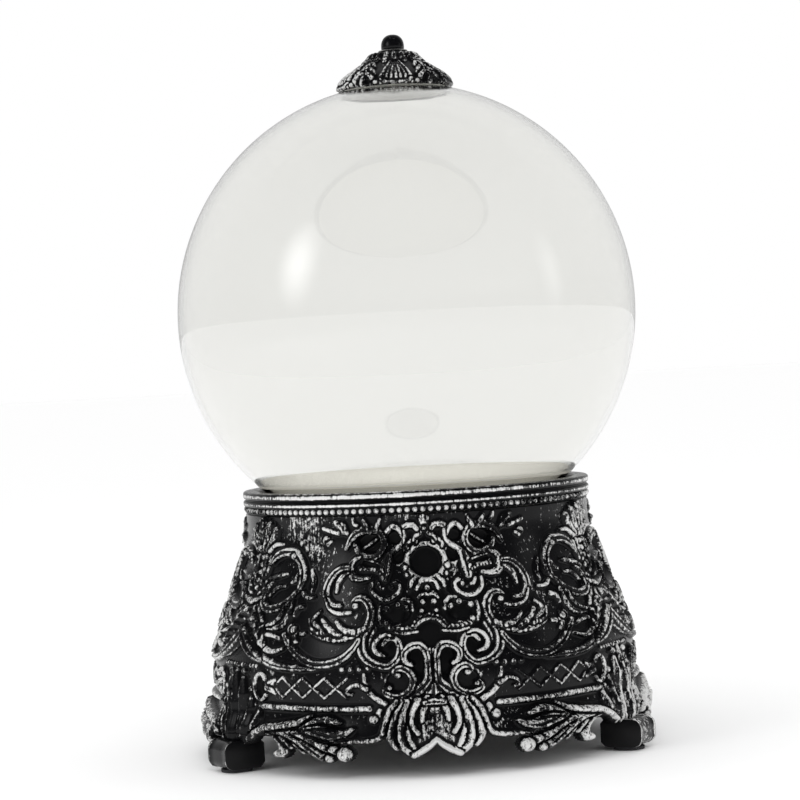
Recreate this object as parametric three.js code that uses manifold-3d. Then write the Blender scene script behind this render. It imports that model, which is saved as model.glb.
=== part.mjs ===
// Crystal ball lamp: a clear hollow globe on a cast three-footed base, with a finial on its crown.
// Millimetres, +Z up. The origin is on the ball's axis at floor level, and the front faces -Y.
import * as THREE from "three";
import { mergeVertices } from "three/addons/utils/BufferGeometryUtils.js";
import Module from "manifold-3d";

const { degToRad, lerp, smoothstep } = THREE.MathUtils;

// ---- Driving sizes ----
const SIDES = 3; // the base repeats three times around its axis
const GAP = 0.3; // between pieces that touch
const FIT = 0.5; // around pieces that drop in

const GLOBE_RADIUS = 100;
const GLOBE_WALL = 1.8;
const GLOBE_ENTRY_RADIUS = 67.2; // of the globe where it passes into the rim
const NECK_INSET = 9.2; // the neck is this much narrower than the globe at the rim
const GLOBE_STEPS = 15; // facets from the neck to the crown
const GLOBE_SEGMENTS = 42; // facets around

const RIM_HEIGHT = 114.2; // floor to the top of the rim
const RIM_WIDTH = 8.2; // outside the globe
const RIM_DEPTH = 9.6;
const PEARL_BAND_HEIGHT = 3;

const WAIST_INSET = 1.2; // of the base wall under the rim
const WAIST_DROP = 14.2; // from the top of the rim to where the wall starts to widen
const BELLY_RADIUS = 91.2; // of the base wall at the lattice band
const BELLY_HEIGHT = 36;
const SKIRT_FLARE = 2.8; // out from the belly
const SKIRT_HEIGHT = 16.2; // floor to the skirt's lower edge
const BAR_HEIGHT = 28.7; // floor to the round bar over the skirt
const BAR_RADIUS = 1.5;
const BASE_WALL = 4;
const DECK_THICKNESS = 4;
const SEAT_DEPTH = 8.6; // of the globe's seat under the rim
const WINDOW_RADIUS = 20; // of the light opening in the deck

const FOOT_PROUD = 12.8; // the toe stands out from the belly
const FOOT_DEPTH = 18;
const FOOT_WIDTH = 16.5;
const FOOT_HEIGHT = 12.8; // floor to the top of the toe
const FOOT_ROUNDING = 4;
const LEG_WIDTH = 20;
const LEG_HEIGHT = 45;
const LEG_PROUD = 5.2; // out from the belly
const PENDANT_WIDTH = 38;
const PENDANT_DROP = 8; // below the skirt's edge
const PENDANT_PROUD = 6;
const SPRAY_LENGTH = 42;
const SPRAY_DROP = 7;
const SPRAY_THICKNESS = 5;
const SPRAY_ANGLE = 34; // from the middle of a face to the middle of a leaf spray
const PAD_RADIUS = 6.5;
const PAD_THICKNESS = 1.2;

const GASKET_THICKNESS = 1.6;
const DIFFUSER_RISE = 4; // above the rim
const DIFFUSER_THICKNESS = 1;
const DIFFUSER_SKIRT = 8; // its edge turns down this far, inside the globe

const CAP_RADIUS = 26;
const CAP_RISE = 13.3; // above the crown of the globe
const CAP_SHOULDER_RADIUS = 13;
const CAP_EDGE = 4; // height of the scalloped edge
const CAP_PAD_THICKNESS = 1.2;
const CAP_PAD_RADIUS = 22;
const COLLAR_RADIUS = 6.2;
const COLLAR_THICKNESS = 0.8;
const KNOB_RADIUS = 5;
const KNOB_HEIGHT = 6.6;
const STUD_RADIUS = 1.5;
const STUD_IN_CAP = 8;
const STUD_IN_KNOB = 3.6;

const PLATE_THICKNESS = 3;
const PLATE_RECESS = 2.8; // above the skirt's edge
const POST_RADIUS = 4;
const POST_INSET = 8.2; // from the waist's inner wall to the middle of a post
const SCREW_RADIUS = 1.5;
const SCREW_HEAD_RADIUS = 2.8;
const SCREW_HEAD_HEIGHT = 1.8;
const SCREW_GRIP = 8; // length of thread in a post

const BOARD_RADIUS = 27;
const BOARD_THICKNESS = 1.6;
const BOARD_DROP = 5; // deck to board
const BOARD_POST_CIRCLE = 23.5;
const BOARD_POST_RADIUS = 2.8;
const BOARD_SCREW_RADIUS = 1.1;
const BOARD_SCREW_HEAD_RADIUS = 2.1;
const BOARD_SCREW_GRIP = 3.5;
const LED_COUNT = 3;
const LED_CIRCLE = 9;
const LED_RADIUS = 2.5;
const LED_HEIGHT = 8.4;
const LED_FLANGE_RADIUS = 2.9;
const LED_FLANGE_HEIGHT = 1;

const CELL_COUNT = 3;
const CELL_RADIUS = 7.1;
const CELL_LENGTH = 49.2; // without its button
const CELL_BUTTON_RADIUS = 2.7;
const CELL_BUTTON_LENGTH = 1.2;
const CELL_SPACING = 1;
const SPRING_LENGTH = 4.2;
const SPRING_WIRE_RADIUS = 0.4;
const SPRING_TURNS = 3;
const CONTACT_THICKNESS = 0.5;
const CONTACT_SIZE = 9;
const BOX_WALL = 1.8;
const BOX_FLANGE_WIDTH = 8;
const BOX_FLANGE_THICKNESS = 2;
const BOX_SCREW_RADIUS = 1.1;

const DOOR_THICKNESS = 2.4;
const KNUCKLE_RADIUS = 1.6;
const KNUCKLE_LENGTH = 28;
const PIN_RADIUS = 0.7;
const PIN_OVERHANG = 5; // past each end of the knuckle

const SWITCH_DISTANCE = 52; // behind the axis
const SWITCH_LENGTH = 14;
const SWITCH_WIDTH = 7;
const SWITCH_HEIGHT = 6;
const SWITCH_FLANGE_LENGTH = 26;
const SWITCH_FLANGE_THICKNESS = 1;
const SWITCH_TRAVEL = 4;
const SLIDER_LENGTH = 4;
const SLIDER_WIDTH = 3;
const SLIDER_REACH = 1.6; // below the bottom plate
const LEAD_RADIUS = 0.7;

// ---- Places worked out from the sizes ----
const neckRadius = GLOBE_ENTRY_RADIUS - NECK_INSET;
const rimRadius = GLOBE_ENTRY_RADIUS + RIM_WIDTH;
const waistRadius = rimRadius - WAIST_INSET;
const waistHeight = RIM_HEIGHT - WAIST_DROP;
const skirtRadius = BELLY_RADIUS + SKIRT_FLARE;
const footReach = BELLY_RADIUS + FOOT_PROUD;
const postCircle = waistRadius - BASE_WALL - POST_INSET;
const cellPitch = 2 * CELL_RADIUS + CELL_SPACING;
const globeCentre = RIM_HEIGHT + Math.sqrt(GLOBE_RADIUS ** 2 - GLOBE_ENTRY_RADIUS ** 2);
const crownHeight = globeCentre + GLOBE_RADIUS;
const neckTop = globeCentre - Math.sqrt(GLOBE_RADIUS ** 2 - neckRadius ** 2);
const rimBottom = RIM_HEIGHT - RIM_DEPTH;
const landHeight = rimBottom - GAP;
const deckTop = landHeight - SEAT_DEPTH;
const deckBottom = deckTop - DECK_THICKNESS;
const seatRadius = neckRadius + GASKET_THICKNESS + 2 * GAP;
const plateBottom = SKIRT_HEIGHT + PLATE_RECESS;
const plateTop = plateBottom + PLATE_THICKNESS;
const plateRadius = BELLY_RADIUS - BASE_WALL - FIT;
const footBottom = PAD_THICKNESS + GAP;
const capTop = crownHeight + CAP_RISE;
const boardTop = deckBottom - BOARD_DROP - GAP;
const boardBottom = boardTop - BOARD_THICKNESS;

const pocketLength = CELL_LENGTH + CELL_BUTTON_LENGTH + SPRING_LENGTH + 2 * CONTACT_THICKNESS + 5 * GAP;
const pocketWidth = CELL_COUNT * cellPitch;
const boxBottom = plateTop + GAP;
const cellHeight = boxBottom + CELL_RADIUS;
const pocketTop = cellHeight + CELL_RADIUS + FIT;
const flangeLength = pocketLength + 2 * BOX_WALL + 2 * BOX_FLANGE_WIDTH;
const flangeWidth = pocketWidth + 2 * BOX_WALL + 2 * KNUCKLE_RADIUS + 2 * FIT;
const hingeY = -(pocketWidth / 2 + BOX_WALL);
const hingeZ = plateBottom + DOOR_THICKNESS / 2 + GAP;
const switchY = SWITCH_DISTANCE;
const switchScrewX = (SWITCH_LENGTH + SWITCH_FLANGE_LENGTH) / 4;
const slotLength = SLIDER_LENGTH + SWITCH_TRAVEL + 2 * FIT;
const slotWidth = SLIDER_WIDTH + 2 * FIT;

// ---- Solids ----
const wasm = await Module();
wasm.setup();

function toSolid(geometry) {
  const bare = geometry.clone();
  bare.deleteAttribute("normal");
  bare.deleteAttribute("uv");
  const merged = mergeVertices(bare, 1e-4);
  return new wasm.Manifold(
    new wasm.Mesh({
      numProp: 3,
      vertProperties: new Float32Array(merged.attributes.position.array),
      triVerts: new Uint32Array(merged.index.array),
    }),
  );
}

function toGeometry(solid) {
  const { vertProperties, triVerts } = solid.getMesh();
  const geometry = new THREE.BufferGeometry();
  geometry.setAttribute("position", new THREE.BufferAttribute(vertProperties, 3));
  geometry.setIndex(new THREE.BufferAttribute(triVerts, 1));
  geometry.computeVertexNormals();
  return geometry;
}

const join = (first, ...rest) =>
  toGeometry(rest.reduce((solid, next) => solid.add(toSolid(next)), toSolid(first)));
const cut = (first, ...tools) =>
  toGeometry(tools.reduce((solid, tool) => solid.subtract(toSolid(tool)), toSolid(first)));

// A turned shape about the Z axis: its profile is (radius, height) pairs, anticlockwise.
function turned(profile, segments = 48) {
  const points = profile.map(([radius, height]) => new THREE.Vector2(radius, height));
  return new THREE.LatheGeometry(points, segments).rotateX(Math.PI / 2);
}

// A ring's profile closes on itself.
const turnedRing = (profile, segments = 48) => turned([...profile, profile[0]], segments);

const rod = (radius, bottom, top, segments = 16) =>
  new THREE.CylinderGeometry(radius, radius, top - bottom, segments)
    .rotateX(Math.PI / 2)
    .translate(0, 0, (top + bottom) / 2);

const slab = (length, width, bottom, top) =>
  new THREE.BoxGeometry(length, width, top - bottom).translate(0, 0, (top + bottom) / 2);

// An outline drawn looking in from the front, as (across, height), thickened from one radius out to another.
function frontRelief(shape, inner, outer, curveSegments = 4) {
  const options = { depth: outer - inner, bevelEnabled: false, curveSegments };
  return new THREE.ExtrudeGeometry(shape, options).rotateX(Math.PI / 2).translate(0, -inner, 0);
}

// An outline drawn from the side, as (distance from the axis, height), given a width across the front.
function sideRelief(shape, width, curveSegments = 4) {
  const options = { depth: width, bevelEnabled: false, curveSegments };
  return new THREE.ExtrudeGeometry(shape, options)
    .rotateX(Math.PI / 2)
    .rotateZ(-Math.PI / 2)
    .translate(width / 2, 0, 0);
}

// Turns a geometry made at the front to a place around the axis.
const atAngle = (geometry, degrees) => geometry.clone().rotateZ(degToRad(degrees));
const faces = Array.from({ length: SIDES }, (_, i) => (i * 360) / SIDES);
const corners = faces.map((angle) => angle + 180 / SIDES);

function plainScrew(radius, headRadius, headHeight, length) {
  return turned([
    [0, -headHeight],
    [headRadius * 0.7, -headHeight],
    [headRadius, -headHeight * 0.4],
    [headRadius, 0],
    [radius, 0],
    [radius, length - radius],
    [radius * 0.3, length],
    [0, length],
  ], 10);
}

function wireAlong(points, radius, steps, sides) {
  const path = new THREE.CatmullRomCurve3(points.map((p) => new THREE.Vector3(...p)));
  const section = new THREE.Shape().absarc(0, 0, radius, 0, 2 * Math.PI);
  return new THREE.ExtrudeGeometry(section, { steps, extrudePath: path, curveSegments: sides / 2 });
}

// ---- The group and its meshes ----
const crystalBall = new THREE.Group();

function add(name, geometry, color, roughness, metalness = 0, extra = {}) {
  const material = new THREE.MeshStandardMaterial({ color, roughness, metalness, ...extra });
  const mesh = new THREE.Mesh(geometry, material);
  mesh.name = name;
  crystalBall.add(mesh);
  return mesh;
}

// ---- Base ----
// The base's outer wall: narrow under the rim, then an even S-curve out to the belly.
const wallRadius = (z) =>
  lerp(BELLY_RADIUS, waistRadius, smoothstep(z, BELLY_HEIGHT, waistHeight));

function drum() {
  const profile = [
    [skirtRadius - BASE_WALL, SKIRT_HEIGHT],
    [skirtRadius, SKIRT_HEIGHT],
    [skirtRadius - 0.6, SKIRT_HEIGHT + 2.4],
    [BELLY_RADIUS + 0.4, BAR_HEIGHT - 2 * BAR_RADIUS],
  ];
  for (let i = -1; i <= 1; i++) {
    const angle = (i * Math.PI) / 3;
    profile.push([BELLY_RADIUS + BAR_RADIUS * Math.cos(angle), BAR_HEIGHT + BAR_RADIUS * Math.sin(angle)]);
  }
  const levels = 6;
  for (let i = 0; i <= levels; i++) {
    const z = lerp(BELLY_HEIGHT, waistHeight, i / levels);
    profile.push([wallRadius(z), z]);
  }
  profile.push([waistRadius, landHeight]);
  profile.push([seatRadius, landHeight]);
  profile.push([seatRadius, deckTop]);
  profile.push([WINDOW_RADIUS, deckTop]);
  profile.push([WINDOW_RADIUS, deckBottom]);
  for (let i = levels; i >= 0; i -= 2) {
    const z = lerp(BELLY_HEIGHT, Math.min(deckBottom, waistHeight), i / levels);
    profile.push([wallRadius(z) - BASE_WALL, z]);
  }
  return turnedRing(profile, 48);
}

// The scrolled toe: a rounded block.
function toe() {
  const heel = footReach - FOOT_DEPTH;
  const r = FOOT_ROUNDING;
  const outline = new THREE.Shape();
  outline.moveTo(heel, footBottom);
  outline.absarc(footReach - r, footBottom + r, r, -Math.PI / 2, 0);
  outline.absarc(footReach - r, FOOT_HEIGHT - r, r, 0, Math.PI / 2);
  outline.lineTo(heel, FOOT_HEIGHT);
  return sideRelief(outline, FOOT_WIDTH);
}

// The leaf-covered corner over a foot.
function leg() {
  const inner = BELLY_RADIUS - BASE_WALL + 1;
  const outer = BELLY_RADIUS + LEG_PROUD;
  const foot = FOOT_HEIGHT - 1.8;
  const outline = new THREE.Shape();
  outline.moveTo(inner, foot);
  outline.lineTo(outer, foot);
  outline.quadraticCurveTo(outer + 1.5, lerp(foot, LEG_HEIGHT, 0.4), outer, LEG_HEIGHT - 4);
  outline.quadraticCurveTo(outer - 1, LEG_HEIGHT, outer - 4, LEG_HEIGHT);
  outline.lineTo(inner, LEG_HEIGHT);
  return sideRelief(outline, LEG_WIDTH);
}

// The shell that hangs in the middle of each face.
function pendant() {
  const half = PENDANT_WIDTH / 2;
  const low = SKIRT_HEIGHT - PENDANT_DROP;
  const outline = new THREE.Shape();
  outline.moveTo(0, low + 2.5);
  outline.quadraticCurveTo(half * 0.5, low - 2, half * 0.75, low + 3);
  outline.quadraticCurveTo(half, SKIRT_HEIGHT, half, BAR_HEIGHT - 6);
  outline.quadraticCurveTo(half * 0.8, BAR_HEIGHT + 2, 0, BAR_HEIGHT + 2);
  outline.quadraticCurveTo(-half * 0.8, BAR_HEIGHT + 2, -half, BAR_HEIGHT - 6);
  outline.quadraticCurveTo(-half, SKIRT_HEIGHT, -half * 0.75, low + 3);
  outline.quadraticCurveTo(-half * 0.5, low - 2, 0, low + 2.5);
  return frontRelief(outline, BELLY_RADIUS - 2, BELLY_RADIUS + PENDANT_PROUD);
}

// A leaf spray under the skirt, drawn with its stem at the left.
function spray(side) {
  const half = SPRAY_LENGTH / 2;
  const low = SKIRT_HEIGHT - SPRAY_DROP;
  const outline = new THREE.Shape();
  outline.moveTo(-half * side, SKIRT_HEIGHT + 4);
  outline.quadraticCurveTo(-half * 0.8 * side, SKIRT_HEIGHT - 1, -half * 0.5 * side, SKIRT_HEIGHT - 2);
  outline.lineTo(-half * 0.1 * side, SKIRT_HEIGHT - 3);
  outline.lineTo(half * 0.5 * side, low);
  outline.quadraticCurveTo(half * side, low - 1, half * side, low + 5);
  outline.lineTo(half * 0.8 * side, SKIRT_HEIGHT + 4);
  const inner = skirtRadius - SPRAY_THICKNESS + 1;
  return frontRelief(outline, inner, inner + SPRAY_THICKNESS);
}

function baseBody() {
  const pieces = [];
  for (const angle of corners) {
    pieces.push(atAngle(toe(), angle), atAngle(leg(), angle));
  }
  for (const angle of faces) {
    pieces.push(atAngle(pendant(), angle));
    pieces.push(atAngle(spray(1), angle - SPRAY_ANGLE), atAngle(spray(-1), angle + SPRAY_ANGLE));
  }
  const holes = [];
  for (const angle of faces) {
    const post = rod(POST_RADIUS, boxBottom, deckBottom + 1).translate(0, -postCircle, 0);
    const pilot = rod(SCREW_RADIUS + GAP, plateTop - 1, plateTop + SCREW_GRIP + 2);
    const boardPost = rod(BOARD_POST_RADIUS, boardTop + GAP, deckBottom + 1, 14);
    const boardPilot = rod(BOARD_SCREW_RADIUS + GAP, boardBottom, boardTop + BOARD_SCREW_GRIP + 1, 12);
    pieces.push(atAngle(post, angle));
    pieces.push(atAngle(boardPost.translate(0, -BOARD_POST_CIRCLE, 0), angle));
    holes.push(atAngle(pilot.translate(0, -postCircle, 0), angle));
    holes.push(atAngle(boardPilot.translate(0, -BOARD_POST_CIRCLE, 0), angle));
  }
  return cut(join(drum(), ...pieces), ...holes);
}
add("base_body", baseBody(), 0x17171a, 0.45, 0.2);

corners.forEach((angle, i) => {
  const pad = rod(PAD_RADIUS, 0, PAD_THICKNESS, 24).translate(0, -(footReach - FOOT_DEPTH / 2), 0);
  add(`foot_pad_${i + 1}`, atAngle(pad, angle), 0x2a2a2c, 0.95);
});

// ---- Rim ----
// The outer radius of the glass at a height.
const glassRadius = (z) =>
  z > neckTop ? Math.sqrt(GLOBE_RADIUS ** 2 - (z - globeCentre) ** 2) : neckRadius;

function rim() {
  const bead = (RIM_DEPTH - PEARL_BAND_HEIGHT - 1) / 3;
  const groove = rimRadius - 1.4;
  const profile = [
    [groove, rimBottom],
    [groove, rimBottom + PEARL_BAND_HEIGHT],
    [rimRadius - 0.4, rimBottom + PEARL_BAND_HEIGHT + 0.3],
    [rimRadius, rimBottom + PEARL_BAND_HEIGHT + bead * 0.5],
    [rimRadius - 0.4, rimBottom + PEARL_BAND_HEIGHT + bead],
    [groove, rimBottom + PEARL_BAND_HEIGHT + bead + 0.4],
    [groove, RIM_HEIGHT - 1.5 * bead - 0.3],
    [rimRadius - 0.4, RIM_HEIGHT - 1.5 * bead],
    [rimRadius, RIM_HEIGHT - bead],
    [rimRadius - 0.5, RIM_HEIGHT - 0.4],
    [rimRadius - 1.4, RIM_HEIGHT],
  ];
  const levels = 2;
  for (let i = 0; i <= levels; i++) {
    const z = lerp(RIM_HEIGHT, Math.max(neckTop, rimBottom + 1), i / levels);
    profile.push([glassRadius(z) + FIT, z]);
  }
  profile.push([neckRadius + FIT, rimBottom]);
  return turnedRing(profile, 48);
}
add("rim_ring", rim(), 0x141416, 0.3, 0.2);

// ---- Globe ----
function globe() {
  const inner = GLOBE_RADIUS - GLOBE_WALL;
  const neckBottom = deckTop + GASKET_THICKNESS + 2 * GAP;
  const outerAngle = Math.asin(neckRadius / GLOBE_RADIUS);
  const innerAngle = Math.asin((neckRadius - GLOBE_WALL) / inner);
  const profile = [[neckRadius - GLOBE_WALL, neckBottom], [neckRadius, neckBottom]];
  for (let i = 0; i <= GLOBE_STEPS; i++) {
    const angle = lerp(outerAngle, Math.PI, i / GLOBE_STEPS);
    const radius = i === GLOBE_STEPS ? 0 : GLOBE_RADIUS * Math.sin(angle);
    profile.push([radius, globeCentre - GLOBE_RADIUS * Math.cos(angle)]);
  }
  const inside = [];
  for (let i = 0; i <= GLOBE_STEPS; i++) {
    const angle = lerp(Math.PI, innerAngle, i / GLOBE_STEPS);
    const radius = i === 0 ? 0 : inner * Math.sin(angle);
    inside.push([radius, globeCentre - inner * Math.cos(angle)]);
  }
  return turned([...inside, ...profile], GLOBE_SEGMENTS);
}
const glass = { transparent: true, opacity: 0.3 };
add("globe", globe(), 0xf4f6f8, 0.03, 0, glass);

// An L-shaped rubber ring: under the neck's edge and up its side.
const gasketFoot = deckTop + GAP;
add("globe_gasket", turnedRing([
  [neckRadius - GLOBE_WALL, gasketFoot],
  [seatRadius - GAP, gasketFoot],
  [seatRadius - GAP, landHeight - GAP],
  [neckRadius + GAP, landHeight - GAP],
  [neckRadius + GAP, gasketFoot + GASKET_THICKNESS],
  [neckRadius - GLOBE_WALL, gasketFoot + GASKET_THICKNESS],
], 40), 0x202022, 0.8);

// The pale sheet across the foot of the globe, resting where the ball narrows.
function diffuser() {
  const top = RIM_HEIGHT + DIFFUSER_RISE;
  const underside = top - DIFFUSER_THICKNESS;
  const hem = top - DIFFUSER_SKIRT;
  // The flats of the faceted globe stand this much inside its true radius.
  const flats = 2 - Math.cos(Math.PI / 2 / GLOBE_STEPS) - Math.cos(Math.PI / GLOBE_SEGMENTS);
  const inside = (GLOBE_RADIUS - GLOBE_WALL) * (1 - flats);
  const fit = (z) => Math.sqrt(inside ** 2 - (z - globeCentre) ** 2) - GAP;
  const profile = [
    [0, underside],
    [fit(underside) - 1.4 * DIFFUSER_THICKNESS, underside],
    [fit(hem) - DIFFUSER_THICKNESS, hem],
    [fit(hem), hem],
    [fit(top), top],
    [0, top],
  ];
  return turned(profile, 60);
}
add("diffuser_sheet", diffuser(), 0xf1efe9, 0.7);

// ---- Finial ----
function cap() {
  const stud = STUD_RADIUS + GAP;
  const underside = [];
  const seat = (radius, lift) => [radius, globeCentre + Math.sqrt((GLOBE_RADIUS + lift) ** 2 - radius ** 2)];
  const padLift = CAP_PAD_THICKNESS + 2 * GAP;
  for (let i = 0; i <= 4; i++) {
    underside.push(seat((CAP_PAD_RADIUS + GAP) * (i / 4), padLift));
  }
  const edge = seat(CAP_RADIUS, GAP);
  const profile = [
    ...underside,
    seat(CAP_PAD_RADIUS + GAP, GAP),
    edge,
    [CAP_RADIUS, edge[1] + CAP_EDGE * 0.6],
    [CAP_RADIUS - 1, edge[1] + CAP_EDGE],
    [lerp(CAP_RADIUS, CAP_SHOULDER_RADIUS, 0.55), lerp(edge[1] + CAP_EDGE, capTop - 3, 0.45)],
    [CAP_SHOULDER_RADIUS, capTop - 3],
    [CAP_SHOULDER_RADIUS - 0.4, capTop - 1],
    [CAP_SHOULDER_RADIUS - 2, capTop],
    [stud, capTop],
    [stud, capTop - STUD_IN_CAP - GAP],
    [0, capTop - STUD_IN_CAP - GAP],
  ];
  return turned(profile, 32);
}
add("finial_cap", cap(), 0x17171a, 0.45, 0.2);

function capPad() {
  const skin = (radius, lift) => [radius, globeCentre + Math.sqrt((GLOBE_RADIUS + lift) ** 2 - radius ** 2)];
  const bottom = [];
  const top = [];
  for (let i = 0; i <= 3; i++) {
    bottom.push(skin((CAP_PAD_RADIUS * i) / 3, GAP));
    top.unshift(skin((CAP_PAD_RADIUS * i) / 3, GAP + CAP_PAD_THICKNESS));
  }
  return turned([...bottom, ...top], 24);
}
add("finial_pad", capPad(), 0xd8d8d4, 0.7);

const collarBottom = capTop + GAP;
const collarTop = collarBottom + COLLAR_THICKNESS;
add("finial_collar", turnedRing([
  [STUD_RADIUS + GAP, collarBottom],
  [COLLAR_RADIUS, collarBottom],
  [COLLAR_RADIUS + 0.3, collarBottom + COLLAR_THICKNESS / 2],
  [COLLAR_RADIUS, collarTop],
  [STUD_RADIUS + GAP, collarTop],
], 32), 0xb9b9b6, 0.4, 0.6);

function knob() {
  const bottom = collarTop + GAP;
  const studHole = bottom + STUD_IN_KNOB + GAP;
  const profile = [
    [0, studHole],
    [STUD_RADIUS + GAP, studHole],
    [STUD_RADIUS + GAP, bottom],
    [KNOB_RADIUS - 0.2, bottom],
  ];
  const steps = 7;
  for (let i = 0; i <= steps; i++) {
    const angle = (i / steps) * (Math.PI / 2);
    const radius = i === steps ? 0 : KNOB_RADIUS * Math.cos(angle);
    profile.push([radius, bottom + 1.4 + (KNOB_HEIGHT - 1.4) * Math.sin(angle)]);
  }
  return turned(profile, 20);
}
add("finial_knob", knob(), 0x17171a, 0.4, 0.2);
const studTop = collarTop + GAP + STUD_IN_KNOB;
add("finial_stud", rod(STUD_RADIUS, capTop - STUD_IN_CAP, studTop, 14), 0x9a9a98, 0.35, 0.9);

// ---- Light ----
function board() {
  const holes = [];
  for (const angle of faces) {
    const hole = rod(BOARD_SCREW_RADIUS + GAP, boardBottom - 1, boardTop + 1, 12);
    holes.push(atAngle(hole.translate(0, -BOARD_POST_CIRCLE, 0), angle));
  }
  return cut(rod(BOARD_RADIUS, boardBottom, boardTop, 32), ...holes);
}
add("led_board", board(), 0x1d5a36, 0.55);

faces.forEach((angle, i) => {
  const screw = plainScrew(
    BOARD_SCREW_RADIUS, BOARD_SCREW_HEAD_RADIUS, SCREW_HEAD_HEIGHT, BOARD_THICKNESS + BOARD_SCREW_GRIP,
  );
  screw.translate(0, -BOARD_POST_CIRCLE, boardBottom - GAP);
  add(`board_screw_${i + 1}`, atAngle(screw, angle), 0xa8a8a6, 0.35, 0.9);
});

function led() {
  const foot = boardTop + GAP;
  const dome = foot + LED_HEIGHT - LED_RADIUS;
  const profile = [
    [0, foot],
    [LED_FLANGE_RADIUS, foot],
    [LED_FLANGE_RADIUS, foot + LED_FLANGE_HEIGHT],
    [LED_RADIUS, foot + LED_FLANGE_HEIGHT],
  ];
  const steps = 4;
  for (let i = 0; i <= steps; i++) {
    const angle = (i / steps) * (Math.PI / 2);
    profile.push([i === steps ? 0 : LED_RADIUS * Math.cos(angle), dome + LED_RADIUS * Math.sin(angle)]);
  }
  return turned(profile, 12);
}
for (let i = 0; i < LED_COUNT; i++) {
  const place = atAngle(led().translate(0, -LED_CIRCLE, 0), (i * 360) / LED_COUNT + 180);
  add(`led_${i + 1}`, place, 0xf2f4f6, 0.15, 0, { ...glass, opacity: 0.7 });
}

// ---- Bottom plate, battery box and door ----
const boxEnd = pocketLength / 2 + BOX_WALL + BOX_FLANGE_WIDTH / 2;
const doorHalfLength = pocketLength / 2 + BOX_WALL;
const doorFront = -hingeY;
const openingMargin = FIT;

function bottomPlate() {
  const cutLow = plateBottom - 1;
  const cutHigh = plateTop + 1;
  const opening = slab(2 * doorHalfLength, doorFront - hingeY + openingMargin, cutLow, cutHigh)
    .translate(0, openingMargin / 2, 0);
  const notch = slab(KNUCKLE_LENGTH + 2 * FIT, 2 * (KNUCKLE_RADIUS + FIT), cutLow, cutHigh)
    .translate(0, hingeY, 0);
  const pinGroove = slab(
    KNUCKLE_LENGTH + 2 * PIN_OVERHANG + 2 * GAP, 2 * (PIN_RADIUS + GAP), hingeZ - PIN_RADIUS - GAP, cutHigh,
  ).translate(0, hingeY, 0);
  const slot = slab(slotLength, slotWidth, cutLow, cutHigh).translate(SWITCH_TRAVEL / 2, switchY, 0);
  const tools = [opening, notch, pinGroove, slot];
  for (const angle of faces) {
    const hole = rod(SCREW_RADIUS + GAP, cutLow, cutHigh, 16).translate(0, -postCircle, 0);
    tools.push(atAngle(hole, angle));
  }
  for (const side of [-1, 1]) {
    tools.push(rod(BOX_SCREW_RADIUS + GAP, cutLow, cutHigh, 12).translate(side * boxEnd, 0, 0));
    tools.push(rod(BOX_SCREW_RADIUS + GAP, cutLow, cutHigh, 12).translate(side * switchScrewX, switchY, 0));
  }
  return cut(rod(plateRadius, plateBottom, plateTop, 60), ...tools);
}
add("bottom_plate", bottomPlate(), 0x1b1b1d, 0.6);

faces.forEach((angle, i) => {
  const screw = plainScrew(SCREW_RADIUS, SCREW_HEAD_RADIUS, SCREW_HEAD_HEIGHT, PLATE_THICKNESS + SCREW_GRIP);
  screw.translate(0, -postCircle, plateBottom - GAP);
  add(`plate_screw_${i + 1}`, atAngle(screw, angle), 0xa8a8a6, 0.35, 0.9);
});

function batteryBox() {
  const shell = slab(
    pocketLength + 2 * BOX_WALL, pocketWidth + 2 * BOX_WALL, boxBottom, pocketTop + BOX_WALL,
  );
  const flange = slab(flangeLength, flangeWidth, boxBottom, boxBottom + BOX_FLANGE_THICKNESS);
  const pocket = slab(pocketLength, pocketWidth, boxBottom - 1, pocketTop);
  const tools = [pocket];
  for (const side of [-1, 1]) {
    const hole = rod(BOX_SCREW_RADIUS + GAP, boxBottom - 1, boxBottom + BOX_FLANGE_THICKNESS + 1, 12);
    tools.push(hole.translate(side * boxEnd, 0, 0));
  }
  return cut(join(shell, flange), ...tools);
}
add("battery_box", batteryBox(), 0x242426, 0.6);

[-1, 1].forEach((side, i) => {
  const length = BOX_FLANGE_THICKNESS + PLATE_THICKNESS;
  const screw = plainScrew(BOX_SCREW_RADIUS, BOARD_SCREW_HEAD_RADIUS, SCREW_HEAD_HEIGHT, length);
  screw.rotateX(Math.PI).translate(side * boxEnd, 0, boxBottom + BOX_FLANGE_THICKNESS + GAP);
  add(`box_screw_${i + 1}`, screw, 0xa8a8a6, 0.35, 0.9);
});

// Each cell lies along X, turned end for end from its neighbour.
function cell() {
  return turned([
    [0, 0],
    [CELL_RADIUS - 0.5, 0],
    [CELL_RADIUS, 0.5],
    [CELL_RADIUS, CELL_LENGTH - 0.5],
    [CELL_RADIUS - 0.5, CELL_LENGTH],
    [CELL_BUTTON_RADIUS, CELL_LENGTH],
    [CELL_BUTTON_RADIUS, CELL_LENGTH + CELL_BUTTON_LENGTH],
    [0, CELL_LENGTH + CELL_BUTTON_LENGTH],
  ], 18);
}

function spring() {
  const path = new THREE.Curve();
  const turn = 2 * Math.PI * SPRING_TURNS;
  path.getPoint = (t, target = new THREE.Vector3()) => {
    const radius = lerp(CELL_RADIUS - 2.4, CELL_RADIUS - 4, t);
    const height = lerp(SPRING_WIRE_RADIUS, SPRING_LENGTH - SPRING_WIRE_RADIUS, t);
    return target.set(radius * Math.cos(turn * t), radius * Math.sin(turn * t), height);
  };
  const section = new THREE.Shape().absarc(0, 0, SPRING_WIRE_RADIUS, 0, 2 * Math.PI);
  return new THREE.ExtrudeGeometry(section, { steps: 30, extrudePath: path, curveSegments: 3 });
}

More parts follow.
